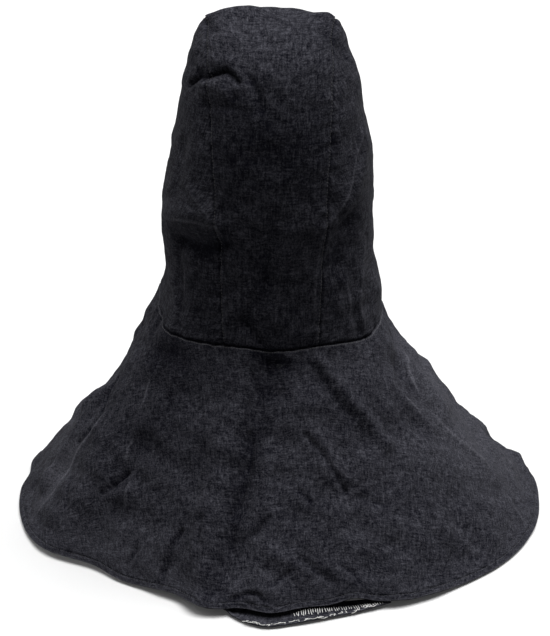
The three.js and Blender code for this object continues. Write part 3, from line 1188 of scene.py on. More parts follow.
    def outline(self, place: Array, turn: Array) -> Array:
        """Bag as its table of sections gives it.

        Args:
            place: Places in the table, from 0 at its first row.
            turn: Turns about the bag's axis in radians.

        Returns:
            Points in millimetres.
        """
        c = signed_power(np.cos(turn), 2 / self.squareness)
        s = signed_power(np.sin(turn), 2 / self.squareness)
        depth = np.where(s < 0, self.columns["back"].at(place), self.columns["front"].at(place))
        x = self.side_at(place, c) * c
        arch = self.crown_arch * (self.crown_share - (x / self.crown_half) ** 2)
        crown = smoothstep(place, self.top - self.crown_rows, self.top)
        height = self.columns["height"].at(place) + arch * crown
        return np.stack([self.axis_x + x, np.maximum(0.0, depth) * s, height], axis=-1)

    def away(self, points: Array) -> Array:
        """Way in which the bag's folds move it: out of its axis, and upwards near the crown."""
        rise = np.maximum(0.0, points[..., 2] - self.round_above)
        return unit(np.stack([points[..., 0] - self.axis_x, points[..., 1], rise], axis=-1))

    def turn_at(self, place: Array, x: Array, facing: Array) -> Array:
        """Turn at which the outline is x from the axis, on the back (-1) or the front (1)."""
        share = np.clip(x / self.side_at(place, x), -1.0, 1.0)
        return facing * np.arccos(signed_power(share, self.squareness / 2))

    def seam_gap(self, points: Array, place: Array) -> Array:
        """Distance from the nearest long seam, or from the seam below the chin.

        Args:
            points: Points of the smooth bag.
            place: Their places in the table.

        Returns:
            The distances in millimetres, or a far one where there is no seam.
        """
        x = np.abs(points[..., 0] - self.axis_x)
        long_seam = np.abs(x - self.columns["seam"].at(place))
        front = (points[..., 1] > 0) & (place < self.strip_end)
        return np.where(front, np.where(place < self.chin_place, x, FAR), long_seam)

    def face_reach(self, points: Array) -> Array:
        """Size of the face oval through each point.

        Args:
            points: Points of the bag.

        Returns:
            The size as a share of the opening's, and a far one off the front.
        """
        across = (points[..., 0] - self.axis_x) / self.face_half_width
        up = (points[..., 2] - self.face_height) / self.face_half_height
        return np.where(points[..., 1] > self.face_from, np.hypot(across, up), FAR)

    def shaped(self, place: Array, turn: Array) -> tuple[Array, Array]:
        """Bag with folds, ripples, rolled seams and hemmed opening.

        Args:
            place: Places in the table.
            turn: Turns in radians.

        Returns:
            Points in millimetres and the wear with painted light and shade at each.
        """
        points = self.smooth(place, turn)
        lift, wear = self.field.measure(points)
        for ripple in self.ripples:
            lift += ripple.at(points)
        seam = self.seam_gap(points, place)
        above = place * self.neck_span
        rim = (self.face_reach(points) - 1.0) * self.face_half_width
        past_hem = rim - self.face_hem
        lift += self.pucker.at(points * np.array(self.seam_stretch)) * bell(seam, self.seam_pucker)
        lift += self.pucker.at(points * np.array(self.neck_stretch)) * bell(above, self.neck_pucker)
        lift += self.seam_groove.at(seam) + self.neck_groove.at(above) + self.face_groove.at(past_hem)
        lift += self.face_raise * smoothstep(-past_hem, -1.0, 1.0) * (rim < self.face_zone)
        # Real wear beside the seams and round the face; painted shade at the seams and the neck; painted
        # light and shade patches.
        wear += self.seam_rub.at(seam) + self.seam_dye.at(seam)
        wear += self.face_rub.at(rim) + self.neck_dye.at(above)
        for fade in self.fades:
            wear += fade.at(np.degrees(turn), points[..., 2])
        return points + self.away(points) * lift[..., None], wear

    @staticmethod
    def face_corners(grid: Array) -> list[Array]:
        """The grid's values at the four corners of each of its faces."""
        return [grid[:-1, :-1], grid[1:, :-1], grid[:-1, 1:], grid[1:, 1:]]

    def trimmed(self, place: Array, turn: Array) -> tuple[Array, Array, NDArray[np.bool_]]:
        """Cuts the face opening out of a panel's grid.

        Args:
            place: Places of the grid.
            turn: Turns of the grid in radians.

        Returns:
            Places and turns with the rim's corners set on the oval, and the faces that stay.
        """
        points = self.smooth(place, turn)
        reach = self.face_reach(points)
        inside = reach < 1.0
        padded = np.pad(~inside, 1)
        rows, columns = inside.shape
        beside = np.zeros_like(inside)
        for row in range(3):
            for column in range(3):
                beside |= padded[row:row + rows, column:column + columns]
        rim = inside & beside
        share = np.maximum(reach, self.least_reach)
        across = (points[..., 0] - self.axis_x) / share
        height = self.face_height + (points[..., 2] - self.face_height) / share
        rim_place = self.place_at(height)
        place = np.where(rim, rim_place, place)
        turn = np.where(rim, self.turn_at(rim_place, across, 1.0), turn)
        gone = inside & ~rim
        kept = ~np.any(self.face_corners(gone), axis=0) & ~np.all(self.face_corners(inside), axis=0)
        return place, turn, kept

    def panel(self, place: Array, turn: Array) -> Cloth:
        """Cloth of one panel.

        Args:
            place: Places of its grid.
            turn: Turns of its grid in radians.

        Returns:
            The cloth, with the face cut out.
        """
        flat = self.smooth(place, turn)
        across = lengths_along(flat, 1)
        across -= across[:, -1:] / 2
        along = lengths_along(flat, 0)
        along = np.broadcast_to(along.mean(axis=1, keepdims=True), across.shape)
        place, turn, kept = self.trimmed(place, turn)
        points, wear = self.shaped(place, turn)
        above = place * self.neck_span
        taper = smoothstep(above, 0.0, self.neck_taper)
        wall = self.wall_share * (self.neck_wall + (1.0 - self.neck_wall) * taper)
        return Cloth(points, np.stack([across, along], axis=-1), wear, wall, kept=kept)

    def rows_up(self, end: float, count: int) -> Array:
        """Places of a panel's rows, closer together at the neck."""
        return np.concatenate([self.neck_rows, np.linspace(self.even_from, end, count)])

    def over_crown(self, way: Array) -> tuple[Array, Array]:
        """Place and facing on a way that runs up the back and down the front."""
        on_back = way <= self.top
        return np.where(on_back, way, 2 * self.top - way), np.where(on_back, -1.0, 1.0)

    def strip(self) -> Cloth:
        """Centre strip from the back of the neck over the crown to the brow.

        Returns:
            Its cloth.
        """
        rows, columns = self.strip_grid
        place, facing = self.over_crown(self.rows_up(2 * self.top - self.strip_end, rows)[:, None])
        half = self.columns["seam"].at(place) - self.seam_slit / 2
        x = half * (2 * eased(columns, self.strip_crowding)[None, :] - 1)
        place = np.broadcast_to(place, x.shape)
        return self.panel(place, self.turn_at(place, x, facing))

    def side(self, side: int) -> Cloth:
        """Side panel, from the back seam round to the front.

        Args:
            side: Left (-1) or right (1).

        Returns:
            Its cloth.
        """
        rows, columns = self.side_grid
        place = self.rows_up(self.top - self.side_stop, rows)[:, None]
        half = self.columns["seam"].at(place) + self.seam_slit / 2
        brow = smoothstep(place, self.chin_place, self.brow_place)
        front_x = self.seam_slit / 2 * (1 - brow) + half * brow
        back = self.turn_at(place, side * half, -1.0)
        front = self.turn_at(place, side * front_x, 1.0)
        start, end = (back, front) if side > 0 else (front - 2 * math.pi, back)
        turn = start + eased(columns, self.side_crowding)[None, :] * (end - start)
        return self.panel(np.broadcast_to(place, turn.shape), turn)

    def seam_line(self, side: int, offset: float) -> Array:
        """Stitch line beside a long seam, from the neck over the crown to the brow.

        Args:
            side: Left (-1) or right (1).
            offset: Distance from the seam, in millimetres.

        Returns:
            Points in millimetres.
        """
        end = 2 * self.top - self.strip_end - self.stitch_stop
        place, facing = self.over_crown(np.linspace(self.stitch_start, end, SEAM_POINTS))
        half = self.columns["seam"].at(place) - offset
        points, _ = self.shaped(place, self.turn_at(place, side * half, facing))
        return points + self.seam_proud * self.away(points)

    def face_line(self, inset: float) -> Array:
        """Stitch line round the face opening.

        Args:
            inset: Distance from its edge, in millimetres.

        Returns:
            Points in millimetres.
        """
        angle = np.linspace(0.0, 2 * math.pi, FACE_POINTS, endpoint=False)
        x = (self.face_half_width + inset) * np.cos(angle)
        height = self.face_height + (self.face_half_height + inset) * np.sin(angle)
        place = self.place_at(height)
        points, _ = self.shaped(place, self.turn_at(place, x, 1.0))
        return points + self.face_proud * self.away(points)


@dataclass
class Cape:
    """The flared shoulder cape, a ring of cloth with a turned hem."""

    bag: HeadBag
    hem_step: float = 30.0
    hem_reach: tuple[float, ...] = (299, 291, 257, 263, 277, 290, 293, 292, 285, 280, 287, 301)
    reach_profile: tuple[float, ...] = (0.0, 0.09, 0.215, 0.345, 0.48, 0.62, 0.76, 0.895, 1.0)
    height_profile: tuple[float, ...] = (1.0, 0.875, 0.745, 0.615, 0.485, 0.35, 0.215, 0.085, 0.0)
    lean: float = 0.8
    hem_height: float = 2.6
    hem_band: float = 11.0
    slant: float = 372.0
    neck_gap: float = 0.3
    neck_fade: float = 0.15
    collar_steps: tuple[tuple[float, float], ...] = ((0.06, 3.0), (0.16, 3.2), (0.3, 3.2))
    collar_pitch: float = 5.0
    flap_turns: tuple[float, float] = (-108.0, -66.0)
    flap_ramp: float = 6.0
    flap_ride: float = 4.5
    flat_radius: float = 222.0
    flat_turn: float = 0.563
    back_turns: tuple[float, float] = (-202.0, 18.0)
    back_step: float = 0.53
    front_columns: int = 26
    hem_rows: tuple[float, ...] = (0.0, 0.7, 1.7, 3.2, 5.2, 7.2, 8.8, 9.9, 10.7, 11.5, 12.5, 14.0, 16.0)
    neck_rows: tuple[float, ...] = (9.5, 7.2, 5.4, 4.0, 2.8, 1.8, 1.0, 0.4, 0.0)
    wall_rows: int = 140
    wall_ends: tuple[float, float] = (18.4, 12.0)
    lining_step: int = 10
    lining_slack: float = 5.0
    lining_ends: tuple[float, float] = (18.0, 11.0)
    slack_ramp: tuple[float, float] = (20.0, 50.0)
    wall_share: float = 0.5
    hem_wall: float = 0.4
    neck_wall: Mark = Mark(-0.28, 3.0)
    neck_calm: float = 0.1
    hem_calm: float = 0.85
    calm_from: float = 0.88
    ripples: tuple[Ripple, ...] = (Ripple(85, 1.5, 21), Ripple(34, 0.75, 22), Ripple(13, 0.22, 23))
    gather: Ripple = Ripple(15, 0.8, 24)
    gather_radius: float = 125.0
    gather_stretch: float = 0.12
    gather_start: float = 6.0
    gather_fall: float = 22.0
    roping: Ripple = Ripple(12, 0.45, 25)
    roping_radius: float = 280.0
    roping_slant: float = 0.8
    roping_stretch: float = 0.3
    roping_width: float = 7.0
    hem_raise: float = 0.6
    raise_ramp: tuple[float, float] = (-1.5, 0.5)
    hem_groove: Mark = Mark(-0.6, 1.8)
    neck_groove: Mark = Mark(-2.4, 3.0)
    edge_rub: Mark = Mark(0.35, 1.6)
    # Painted shade along the groove of the hem's stitching.
    hem_dye: Mark = Mark(-0.15, 1.6)
    # Painted highlight on the cloth just below the neck seam.
    neck_rub: Mark = Mark(0.35, 1.3, 3.8)
    # Painted shade along the cloth just below the neck seam.
    neck_dye: Mark = Mark(-0.9, 1.4)
    # Patches of painted light (above 0) and painted shade (below 0).
    fades: tuple[PaintedShading, ...] = (
        PaintedShading(-140, 0.1, 16, 0.12, -0.5),
        PaintedShading(-138, 0.4, 16, 0.16, -0.25),
        PaintedShading(-2, 0.24, 22, 0.2, 0.14),
        PaintedShading(-2, 0.55, 28, 0.4, 0.24),
        PaintedShading(-50, 0.2, 14, 0.14, -0.1),
        PaintedShading(-166, 0.7, 5, 0.17, 0.42),
        PaintedShading(-125, 0.88, 26, 0.12, 0.1),
        PaintedShading(-50, 0.86, 20, 0.16, -0.12),
        PaintedShading(-85, 0.86, 16, 0.1, -0.08),
    )
    waves: tuple[EdgeWave, ...] = (
        EdgeWave(-143, 7, 0, -11),
        EdgeWave(-137, 6, 0, -8),
        EdgeWave(-148, 14, 4, 3),
        EdgeWave(-116, 8, 6, 9),
        EdgeWave(-109, 4, 2, 15),
        EdgeWave(-104, 5, 2.5, 21),
        EdgeWave(-93, 6, 0.5, 17),
        EdgeWave(-74, 4, 7.5, 1),
        EdgeWave(-65, 4, 1, 5),
        EdgeWave(-58, 7, 4.5, 6),
        EdgeWave(8, 7, 0, 3),
        EdgeWave(22, 8, 3, 0),
        EdgeWave(149, 13, 7, 0),
        EdgeWave(164, 3.5, 2, 3),
        EdgeWave(171, 3.5, 1, -3),
    )
    folds: tuple[Fold, ...] = (
        Fold(((-172, 0.37), (-169, 0.6), (-168, 0.8)), 9, 9),
        Fold(((159, 0.28), (161, 0.6)), 26, -23),
        Fold(((148, 0.72), (149, 0.9)), 26, 5),
        Fold(
            ((-161, 0.4), (-160, 0.47), (-163, 0.61), (-163, 0.7), (-162, 0.81), (-164, 0.97)),
            2.6,
            1.6,
            0.65,
            FoldShape.CREASE,
        ),
        Fold(((-169, 0.29), (-168, 0.365), (-163.5, 0.44), (-162.5, 0.51), (-164.5, 0.575)), 3, -2.4, -0.42),
        Fold(((-8, 0.175), (-16, 0.215), (-20, 0.27), (-22, 0.315)), 2.4, 1.4, 0.6, FoldShape.CREASE),
        Fold(((-33, 0.29), (-30, 0.335), (-29, 0.375)), 2.4, 1.0, 0.5, FoldShape.CREASE),
        Fold(
            ((-24, 0.41), (-22, 0.48), (-20, 0.545), (-18, 0.6), (-15, 0.7)),
            2.4,
            1.4,
            0.55,
            FoldShape.CREASE,
        ),
        Fold(((-12, 0.22), (-19, 0.44), (-16, 0.64)), 12, 5),
        Fold(((-21, 0.175), (-24, 0.275)), 11, -3.5, -0.25),
        Fold(((-38, 0.365), (-32, 0.435)), 13, -2.5, -0.12),
        Fold(((21, 0.2), (22, 0.62)), 27, -17),
        Fold(((5, 0.33), (4, 0.44)), 13, 4),
        Fold(((6, 0.7), (12, 0.77), (18, 0.85)), 12, -12),
        Fold(((12, 0.9), (8, 0.94)), 10, 6),
        Fold(((11, 0.53), (7, 0.65)), 14, -9),
        Fold(((0, 0.19), (0, 0.22)), 10, 4),
        Fold(((-185, 0.25), (-187, 0.42)), 14, -6.5),
        Fold(((-183, 0.09), (-185, 0.14)), 10, 3.5),
        Fold(((14, 0.88), (14, 0.96)), 12, 2.5),
        Fold(((-180, 0.3), (-174, 0.36)), 9, -4),
        Fold(((172, 0.47), (174, 0.53)), 9, 5),
        Fold(
            (
                (-90, 0.06),
                (-91, 0.165),
                (-94, 0.26),
                (-97, 0.365),
                (-99, 0.475),
                (-101, 0.575),
                (-102, 0.685),
                (-104, 0.9),
            ),
            14,
            -10,
            -0.36,
        ),
        Fold(((-98, 0.335), (-97, 0.4), (-98, 0.465)), 3.6, -3, -0.35),
        Fold(((-99, 0.53), (-102, 0.635)), 4, -3.5, -0.25),
        Fold(((-102, 0.665), (-102, 0.76)), 4, -2.2, -0.2),
        Fold(((-96, 0.13), (-94, 0.2)), 5, -2.5, -0.25),
        Fold(((-95, 0.02), (-84, 0.065)), 6.5, -4, -0.6),
        Fold(((-94, 0.17), (-87, 0.19)), 7, -2.5, -0.15),
        Fold(((-80, 0.25), (-84, 0.8)), 20, 5),
        Fold(((-69, 0.06), (-64, 0.165), (-61, 0.235), (-55, 0.33), (-52, 0.42)), 9, 6.5),
        Fold(((-73, 0.07), (-68.5, 0.165), (-65, 0.24), (-61, 0.3)), 6, -2.2, -0.18),
        Fold(((-82, 0.1), (-76, 0.24), (-69, 0.34)), 9, -1.2, -0.1),
        Fold(((-80, 0.35), (-76, 0.41), (-74, 0.465), (-72, 0.515), (-70, 0.565)), 2.6, -2.8, -0.35),
        Fold(((-77, 0.35), (-73, 0.42), (-69, 0.52)), 8, 2.2),
        Fold(((-84, 0.55), (-81, 0.59)), 2.5, -2.4, -0.35),
        Fold(((-92, 0.63), (-96, 0.695)), 3, -2.4, -0.3),
        Fold(((-94, 0.66), (-84, 0.685)), 13, -2, -0.1),
        Fold(((-92, 0.76), (-88, 0.78)), 12, 4),
        Fold(((-92, 0.865), (-90, 0.84), (-88, 0.825)), 2.4, -2.2, -0.35),
        Fold(((-85, 0.79), (-80, 0.85), (-78, 0.885)), 4.5, -3, -0.28),
        Fold(((-75, 0.84), (-73, 0.87), (-72, 0.925)), 2.0, -2.6, -0.6),
        Fold(((-102, 0.985), (-101, 0.955), (-97, 0.915), (-95, 0.915), (-94, 0.94)), 2.7, -4, -0.55),
        Fold(((-99, 0.955), (-95, 0.96)), 7, 2.5),
        Fold(((-146, 0.19), (-146, 0.245), (-144, 0.295), (-144, 0.355)), 2.5, 1.3, 0.65, FoldShape.CREASE),
        Fold(((-142, 0.425), (-142, 0.495), (-141, 0.55)), 2.5, 1.4, 0.65, FoldShape.CREASE),
        Fold(((-137, 0.6), (-136, 0.675), (-136, 0.715)), 2.5, 1.1, 0.5, FoldShape.CREASE),
        Fold(((-140, 0.45), (-136, 0.43)), 11, -3.5, -0.15),
        Fold(((-139.5, 0.585), (-140.5, 0.615), (-142, 0.655)), 2.5, -4.5, -1.0),
        Fold(((-142, 0.655), (-144, 0.69)), 4, -2, -0.2),
        Fold(((-136, 0.64), (-141, 0.7)), 7, 2.0),
        Fold(((-126, 0.33), (-115, 0.36)), 4, 1.2, 0.25, FoldShape.CREASE),
        Fold(((-146, 0.085), (-130, 0.09)), 16, -3, -0.3),
        Fold(((-132, 0.255), (-130, 0.295)), 4, -1.5, -0.25),
        Fold(((-116, 0.73), (-118, 0.8), (-119, 0.905)), 3.3, -4.2, -0.4),
        Fold(((-118, 0.925), (-120, 0.97)), 3, -2.4, -0.3),
        Fold(((-110, 0.7), (-114, 0.85)), 9, 3),
        Fold(((-110, 0.66), (-110, 0.75)), 3.4, -3.8, -0.35),
        Fold(((-128, 0.83), (-130, 0.915)), 3.2, -2.4, -0.2),
        Fold(((-106, 0.925), (-106, 0.985)), 2.8, -2.5, -0.35),
        Fold(((-158, 0.69), (-153, 0.78)), 3.4, -2, -0.2),
        Fold(((-146, 0.59), (-147, 0.72)), 3.4, -1.8, -0.15),
        Fold(((-134, 0.2), (-140, 0.4), (-147, 0.6)), 12, 3.5),
        Fold(((-66, 0.59), (-60, 0.625)), 5, -2, -0.15),
        Fold(((-63, 0.745), (-60, 0.775)), 9, -2, -0.1),
        Fold(((-15, 0.85), (-6, 0.96)), 4.5, -2, -0.25),
        Fold(((-18, 0.84), (-18, 0.96)), 3, 0.8, 0.25, FoldShape.CREASE),
        Fold(((-50, 0.2), (-44, 0.55), (-46, 0.8)), 24, 4),
        Fold(((62, 0.15), (58, 0.9)), 24, -9),
        Fold(((90, 0.15), (88, 0.9)), 24, 8),
        Fold(((118, 0.2), (120, 0.9)), 22, -10),
    )

    def __post_init__(self) -> None:
        """Lays the splines and the folds."""
        loop = self.hem_reach
        self.hem_spline = EvenSpline([*loop, loop[0]], loop[-1], loop[1])
        self.reach_spline = EvenSpline.open(self.reach_profile)
        self.height_spline = EvenSpline.open(self.height_profile)
        self.field = FoldField(self.folds, lambda level, turn: self.smooth(level, np.radians(turn)))

    def hem_circle(self, degrees: Array) -> Array:
        """Reach of the hem without its waves."""
        return self.hem_spline.at((degrees + HALF_TURN) % (2 * HALF_TURN) / self.hem_step)

    def hem_lift(self, degrees: Array) -> Array:
        """Rise of the hem where it rides over the flap and in its waves.

        Args:
            degrees: Turns.

        Returns:
            The rise in millimetres.
        """
        seen = turn_between(degrees, 0.0)
        start, end = self.flap_turns
        on = smoothstep(seen, start - self.flap_ramp, start)
        off = smoothstep(seen, end, end + self.flap_ramp)
        return self.flap_ride * (on - off) + wave_sum(self.waves, degrees, "lift")

    def smooth(self, drop: Array, turn: Array) -> Array:
        """Cape without its folds.

        Args:
            drop: Share of the way from the neck down to the hem.
            turn: Turns in radians.

        Returns:
            Points in millimetres.
        """
        degrees = np.degrees(turn)
        start = np.zeros_like(turn)
        level_neck = self.bag.outline(start, turn)
        sewn = 1.0 - smoothstep(drop, 0.0, self.neck_fade)[..., None]
        neck = level_neck + sewn * (self.bag.shaped(start, turn)[0] - level_neck)
        reach = self.hem_circle(degrees) + wave_sum(self.waves, degrees, "out")
        height = self.hem_height + self.hem_lift(degrees)
        hem = np.stack([reach * np.cos(turn), reach * np.sin(turn), height], axis=-1)
        place = drop * (len(self.reach_profile) - 1)
        out = self.reach_spline.at(place)[..., None]
        down = 1.0 - np.maximum(0.0, self.height_spline.at(place))
        level = (neck + (hem - neck) * out)[..., :2]
        high = (neck[..., 2] - self.neck_gap) * (1.0 - down) + height * down
        return np.concatenate([level, high[..., None]], axis=-1)

    def shaped(self, drop: Array, turn: Array) -> tuple[Array, Array]:
        """Cape with folds, ripples, gathers at the neck and a roped hem.

        Args:
            drop: Share of the drop, as a grid.
            turn: Turns in radians, as a grid of the same shape.

        Returns:
            Points in millimetres and the wear with painted light and shade at each.
        """
        points = self.smooth(drop, turn)
        lift, wear = self.field.measure(points)
        for ripple in self.ripples:
            lift += ripple.at(points)
        lift *= smoothstep(drop, 0.0, self.neck_calm)
        lift *= 1.0 - self.hem_calm * smoothstep(drop, self.calm_from, 1.0)
        edge, fall = (1.0 - drop) * self.slant, drop * self.slant
        past_hem = edge - self.hem_band
        round_neck = np.stack([turn * self.gather_radius, fall * self.gather_stretch], axis=-1)
        gathered = smoothstep(fall, 0.0, self.gather_start) * np.exp(-fall / self.gather_fall)
        lift += self.gather.at(round_neck) * gathered + self.neck_groove.at(fall)
        slanted = turn * self.roping_radius + edge * self.roping_slant
        round_hem = np.stack([slanted, edge * self.roping_stretch], axis=-1)
        lift += self.roping.at(round_hem) * bell(past_hem, self.roping_width)
        lift += self.hem_raise * (1.0 - smoothstep(past_hem, *self.raise_ramp)) + self.hem_groove.at(past_hem)
        # Real wear at the hem's edge; painted shade at the hem's stitching and below the neck seam, a painted
        # highlight under it, and painted light and shade patches.
        wear += self.edge_rub.at(edge) + self.hem_dye.at(past_hem)
        wear += self.neck_rub.at(fall) + self.neck_dye.at(fall)
        for fade in self.fades:
            wear += fade.at(np.degrees(turn), drop)
        way = unit(np.stack([np.cos(turn), np.sin(turn), np.full_like(turn, self.lean)], axis=-1))
        return points + way * lift[..., None], wear

    def turns(self) -> Array:
        """Turns of the columns, closer together on the back, starting and ending at the front.

        Returns:
            The turns in radians.
        """
        start, end = self.back_turns
        before = np.linspace(-1.5 * HALF_TURN, start, self.front_columns, endpoint=False)
        after = np.linspace(end, 0.5 * HALF_TURN, self.front_columns, endpoint=False)
        return np.radians(np.concatenate([before, np.arange(start, end, self.back_step), after]))

    def drops(self) -> Array:
        """Drops of the rows from the hem up, closer together at the hem and at the neck.

        Returns:
            The drops, as shares of the way from the neck down to the hem.
        """
        low, high = self.wall_ends
        between = np.linspace(low, self.slant - high, self.wall_rows)
        neck = self.slant - np.array(self.neck_rows)
        return 1.0 - np.concatenate([self.hem_rows, between, neck]) / self.slant

    def cloth(self) -> Cloth:
        """The whole ring with its hem and the collar turned up inside the bag.

        Returns:
            The ring.
        """
        turns, drops = self.turns(), self.drops()
        drop, turn = np.meshgrid(drops, turns, indexing="ij")
        points, wear = self.shaped(drop, turn)
        collar = []
        for place, inset in self.collar_steps:
            bag, _ = self.bag.shaped(np.full_like(turns, place), turns)
            collar.append(bag - inset * self.bag.away(bag))
        points = np.concatenate([points, np.stack(collar)])
        wear = np.concatenate([wear, np.zeros((len(collar), len(turns)))])
        above = self.slant + self.collar_pitch * np.arange(1, len(collar) + 1)
        edge = np.concatenate([(1.0 - drops) * self.slant, above])
        share = self.wall_share + self.hem_wall * (1.0 - smoothstep(edge - self.hem_band, -1.0, 1.0))
        share += self.neck_wall.at(edge - self.slant)
        wall = np.broadcast_to(share[:, None], wear.shape)
        spread = np.append(turns, turns[0] + 2 * math.pi)
        radius = (self.flat_radius + self.slant - edge)[:, None]
        angle = self.flat_turn * (spread[None, :] + math.pi / 2) - math.pi / 2
        pattern = np.stack([radius * np.cos(angle), radius * np.sin(angle)], axis=-1)
        sheet = Cloth(points, pattern, wear, wall)
        row = np.arange(len(edge))
        low, high = self.lining_ends
        plain = (edge > low) & (edge < self.slant - high)
        inner = row[~plain | (row % self.lining_step == 0)]
        hang = smoothstep(edge, *self.slack_ramp) * smoothstep(self.slant - edge, *self.slack_ramp)
        return RingCloth.walled(sheet, inner, self.lining_slack * hang)

    def ring_line(self, fall: float, count: int, proud: float) -> Array:
        """Stitch line round the cape.

        Args:
            fall: Distance below the neck seam, in millimetres.
            count: Number of its points.
            proud: How far it stands off the cloth.

        Returns:
            Points in millimetres.
        """
        turn = np.linspace(-math.pi, math.pi, count, endpoint=False)
        points, _ = self.shaped(np.full_like(turn, fall / self.slant), turn)
        way = unit(np.stack([np.cos(turn), np.sin(turn), np.ones_like(turn)], axis=-1))
        return points + proud * way


@dataclass
class HemFlap:
    """The turned-under edge of the hem that has slipped out, with overlock along its raw edge."""

    cape: Cape
    showing: tuple[float, ...] = (-12, 21, 37, 28, 17, 9, 3)
    under: float = 13.0
    thick: float = 1.6
    rise: float = 2.5
    slope: float = 10.0
    curl: float = 2.6
    curl_width: float = 14.0
    flat_radius: float = 270.0
    grid: tuple[int, int] = (22, 130)
    wall_share: float = 0.5
    edge_rub: Mark = Mark(0.25, 1.5)
    ripple: Ripple = Ripple(22, 0.5, 31)
    ripple_from: float = 8.0
    loops: tuple[float, float] = (-98.0, -69.5)
    loop_pitch: float = 3.3
    loop_radius: float = 275.0
    loop_points: int = 14
    loop_sizes: tuple[float, float] = (0.5, 1.5)
    loop_sway: float = 0.5
    loop_width: float = 2.2
    loop_inset: float = 1.4
    loop_drift: float = 1.4
    loop_height: float = 0.6
    loop_wave: float = 0.5
    loop_bits: int = 30
    bit_shares: tuple[float, float] = (0.15, 0.7)
    loop_seed: int = 41
    ladder: tuple[float, float] = (-87.5, -68.0)
    ladder_pitch: float = 2.4
    ladder_tops: tuple[float, float] = (-2.0, 0.0)
    ladder_feet: tuple[float, float] = (4.0, 8.0)
    ladder_margin: float = 0.8
    ladder_lean: float = 0.2
    ladder_height: float = 0.5
    ladder_points: int = 7
    ladder_seed: int = 42
    thread_radius: float = 0.38

    def __post_init__(self) -> None:
        """Lays the spline of the flap's showing width."""
        self.spline = EvenSpline.open(self.showing)

    def showing_at(self, degrees: Array) -> Array:
        """Width of the flap that shows past the hem.

        Args:
            degrees: Turns.

        Returns:
            The width in millimetres, below 0 where the raw edge lies under the hem.
        """
        start, end = self.cape.flap_turns
        share = (degrees - start) / (end - start)
        return np.maximum(1.0 - self.under, self.spline.at(share * (len(self.showing) - 1)))

    def surface(self, past: Array, degrees: Array) -> Array:
        """Points of the flap's upper side.

        Args:
            past: Distance past the hem, in millimetres.
            degrees: Turns.

        Returns:
            Points in millimetres.
        """
        turn = np.radians(degrees)
        reach = self.cape.hem_circle(degrees) + past
        spread = np.stack([turn * self.flat_radius, past], axis=-1)
        wave = np.abs(self.ripple.at(spread)) * smoothstep(past, 0.0, self.ripple_from)
        high = self.thick + self.rise * (1.0 - smoothstep(past, 0.0, self.slope)) + wave
        high += self.curl * smoothstep(past - self.showing_at(degrees), -self.curl_width, 0.0)
        return np.stack([reach * np.cos(turn), reach * np.sin(turn), high], axis=-1)

    def cloth(self) -> Cloth:
        """The flap, from its raw edge in under the hem.

        Returns:
            Its cloth.
        """
        rows, columns = self.grid
        degrees = np.linspace(*self.cape.flap_turns, columns)[None, :]
        inward = np.linspace(0.0, 1.0, rows)[:, None]
        showing = self.showing_at(degrees)
        past = showing + inward * (-self.under - showing)
        degrees = np.broadcast_to(degrees, past.shape)
        points = self.surface(past, degrees)
        pattern = np.stack([np.radians(degrees) * self.flat_radius, -past], axis=-1)
        return Cloth(points, pattern, self.edge_rub.at(past - showing), np.full(past.shape, self.wall_share))

    def loop_lines(self) -> list[Array]:
        """Looping thread along the raw edge.

        Returns:
            Lines of points in millimetres.
        """
        start, end = self.loops
        chance = np.random.default_rng(self.loop_seed)
        count = int(math.radians(end - start) * self.loop_radius / self.loop_pitch)
        phase = np.linspace(0.0, 2 * math.pi * count, count * self.loop_points)
        turns = 2 * math.pi * np.arange(count + 1)
        vary = np.interp(phase, turns, chance.uniform(*self.loop_sizes, count + 1))
        drift = np.interp(phase, turns, chance.normal(0.0, self.loop_drift, count + 1))
        degrees = start + phase / phase[-1] * (end - start) + np.sin(phase) * vary * self.loop_sway
        past = self.showing_at(degrees) - self.loop_inset + self.loop_width * vary * np.cos(phase) + drift
        points = self.surface(past, degrees)
        points[:, 2] += self.loop_height + self.loop_wave * np.sin(phase + 1.0)
        bits = np.array_split(points, self.loop_bits)
        return [bit[: int(len(bit) * chance.uniform(*self.bit_shares))] for bit in bits]

    def ladder_lines(self) -> list[Array]:
        """Upright threads of the overlock below the hem's edge.

        Returns:
            Lines of points in millimetres.
        """
        start, end = self.ladder
        chance = np.random.default_rng(self.ladder_seed)
        count = int(math.radians(end - start) * self.flat_radius / self.ladder_pitch)
        strokes = []
        for degrees in np.linspace(start, end, count):
            edge = float(self.showing_at(np.array(degrees)))
            hem = float(wave_sum(self.cape.waves, np.array(degrees), "out"))
            top = chance.uniform(*self.ladder_tops)
            foot = min(edge - hem - self.ladder_margin, chance.uniform(*self.ladder_feet))
            lean = chance.uniform(-self.ladder_lean, self.ladder_lean)
            along = np.linspace(0.0, 1.0, self.ladder_points)
            points = self.surface(hem + top + along * (foot - top), degrees + along * lean)
            points[:, 2] += self.ladder_height
            strokes.append(points)
        return strokes


@dataclass(frozen=True)
class Cut:
    """Flat cut of a cloth piece in metres: its width, length and area."""

    width: float
    length: float
    area: float


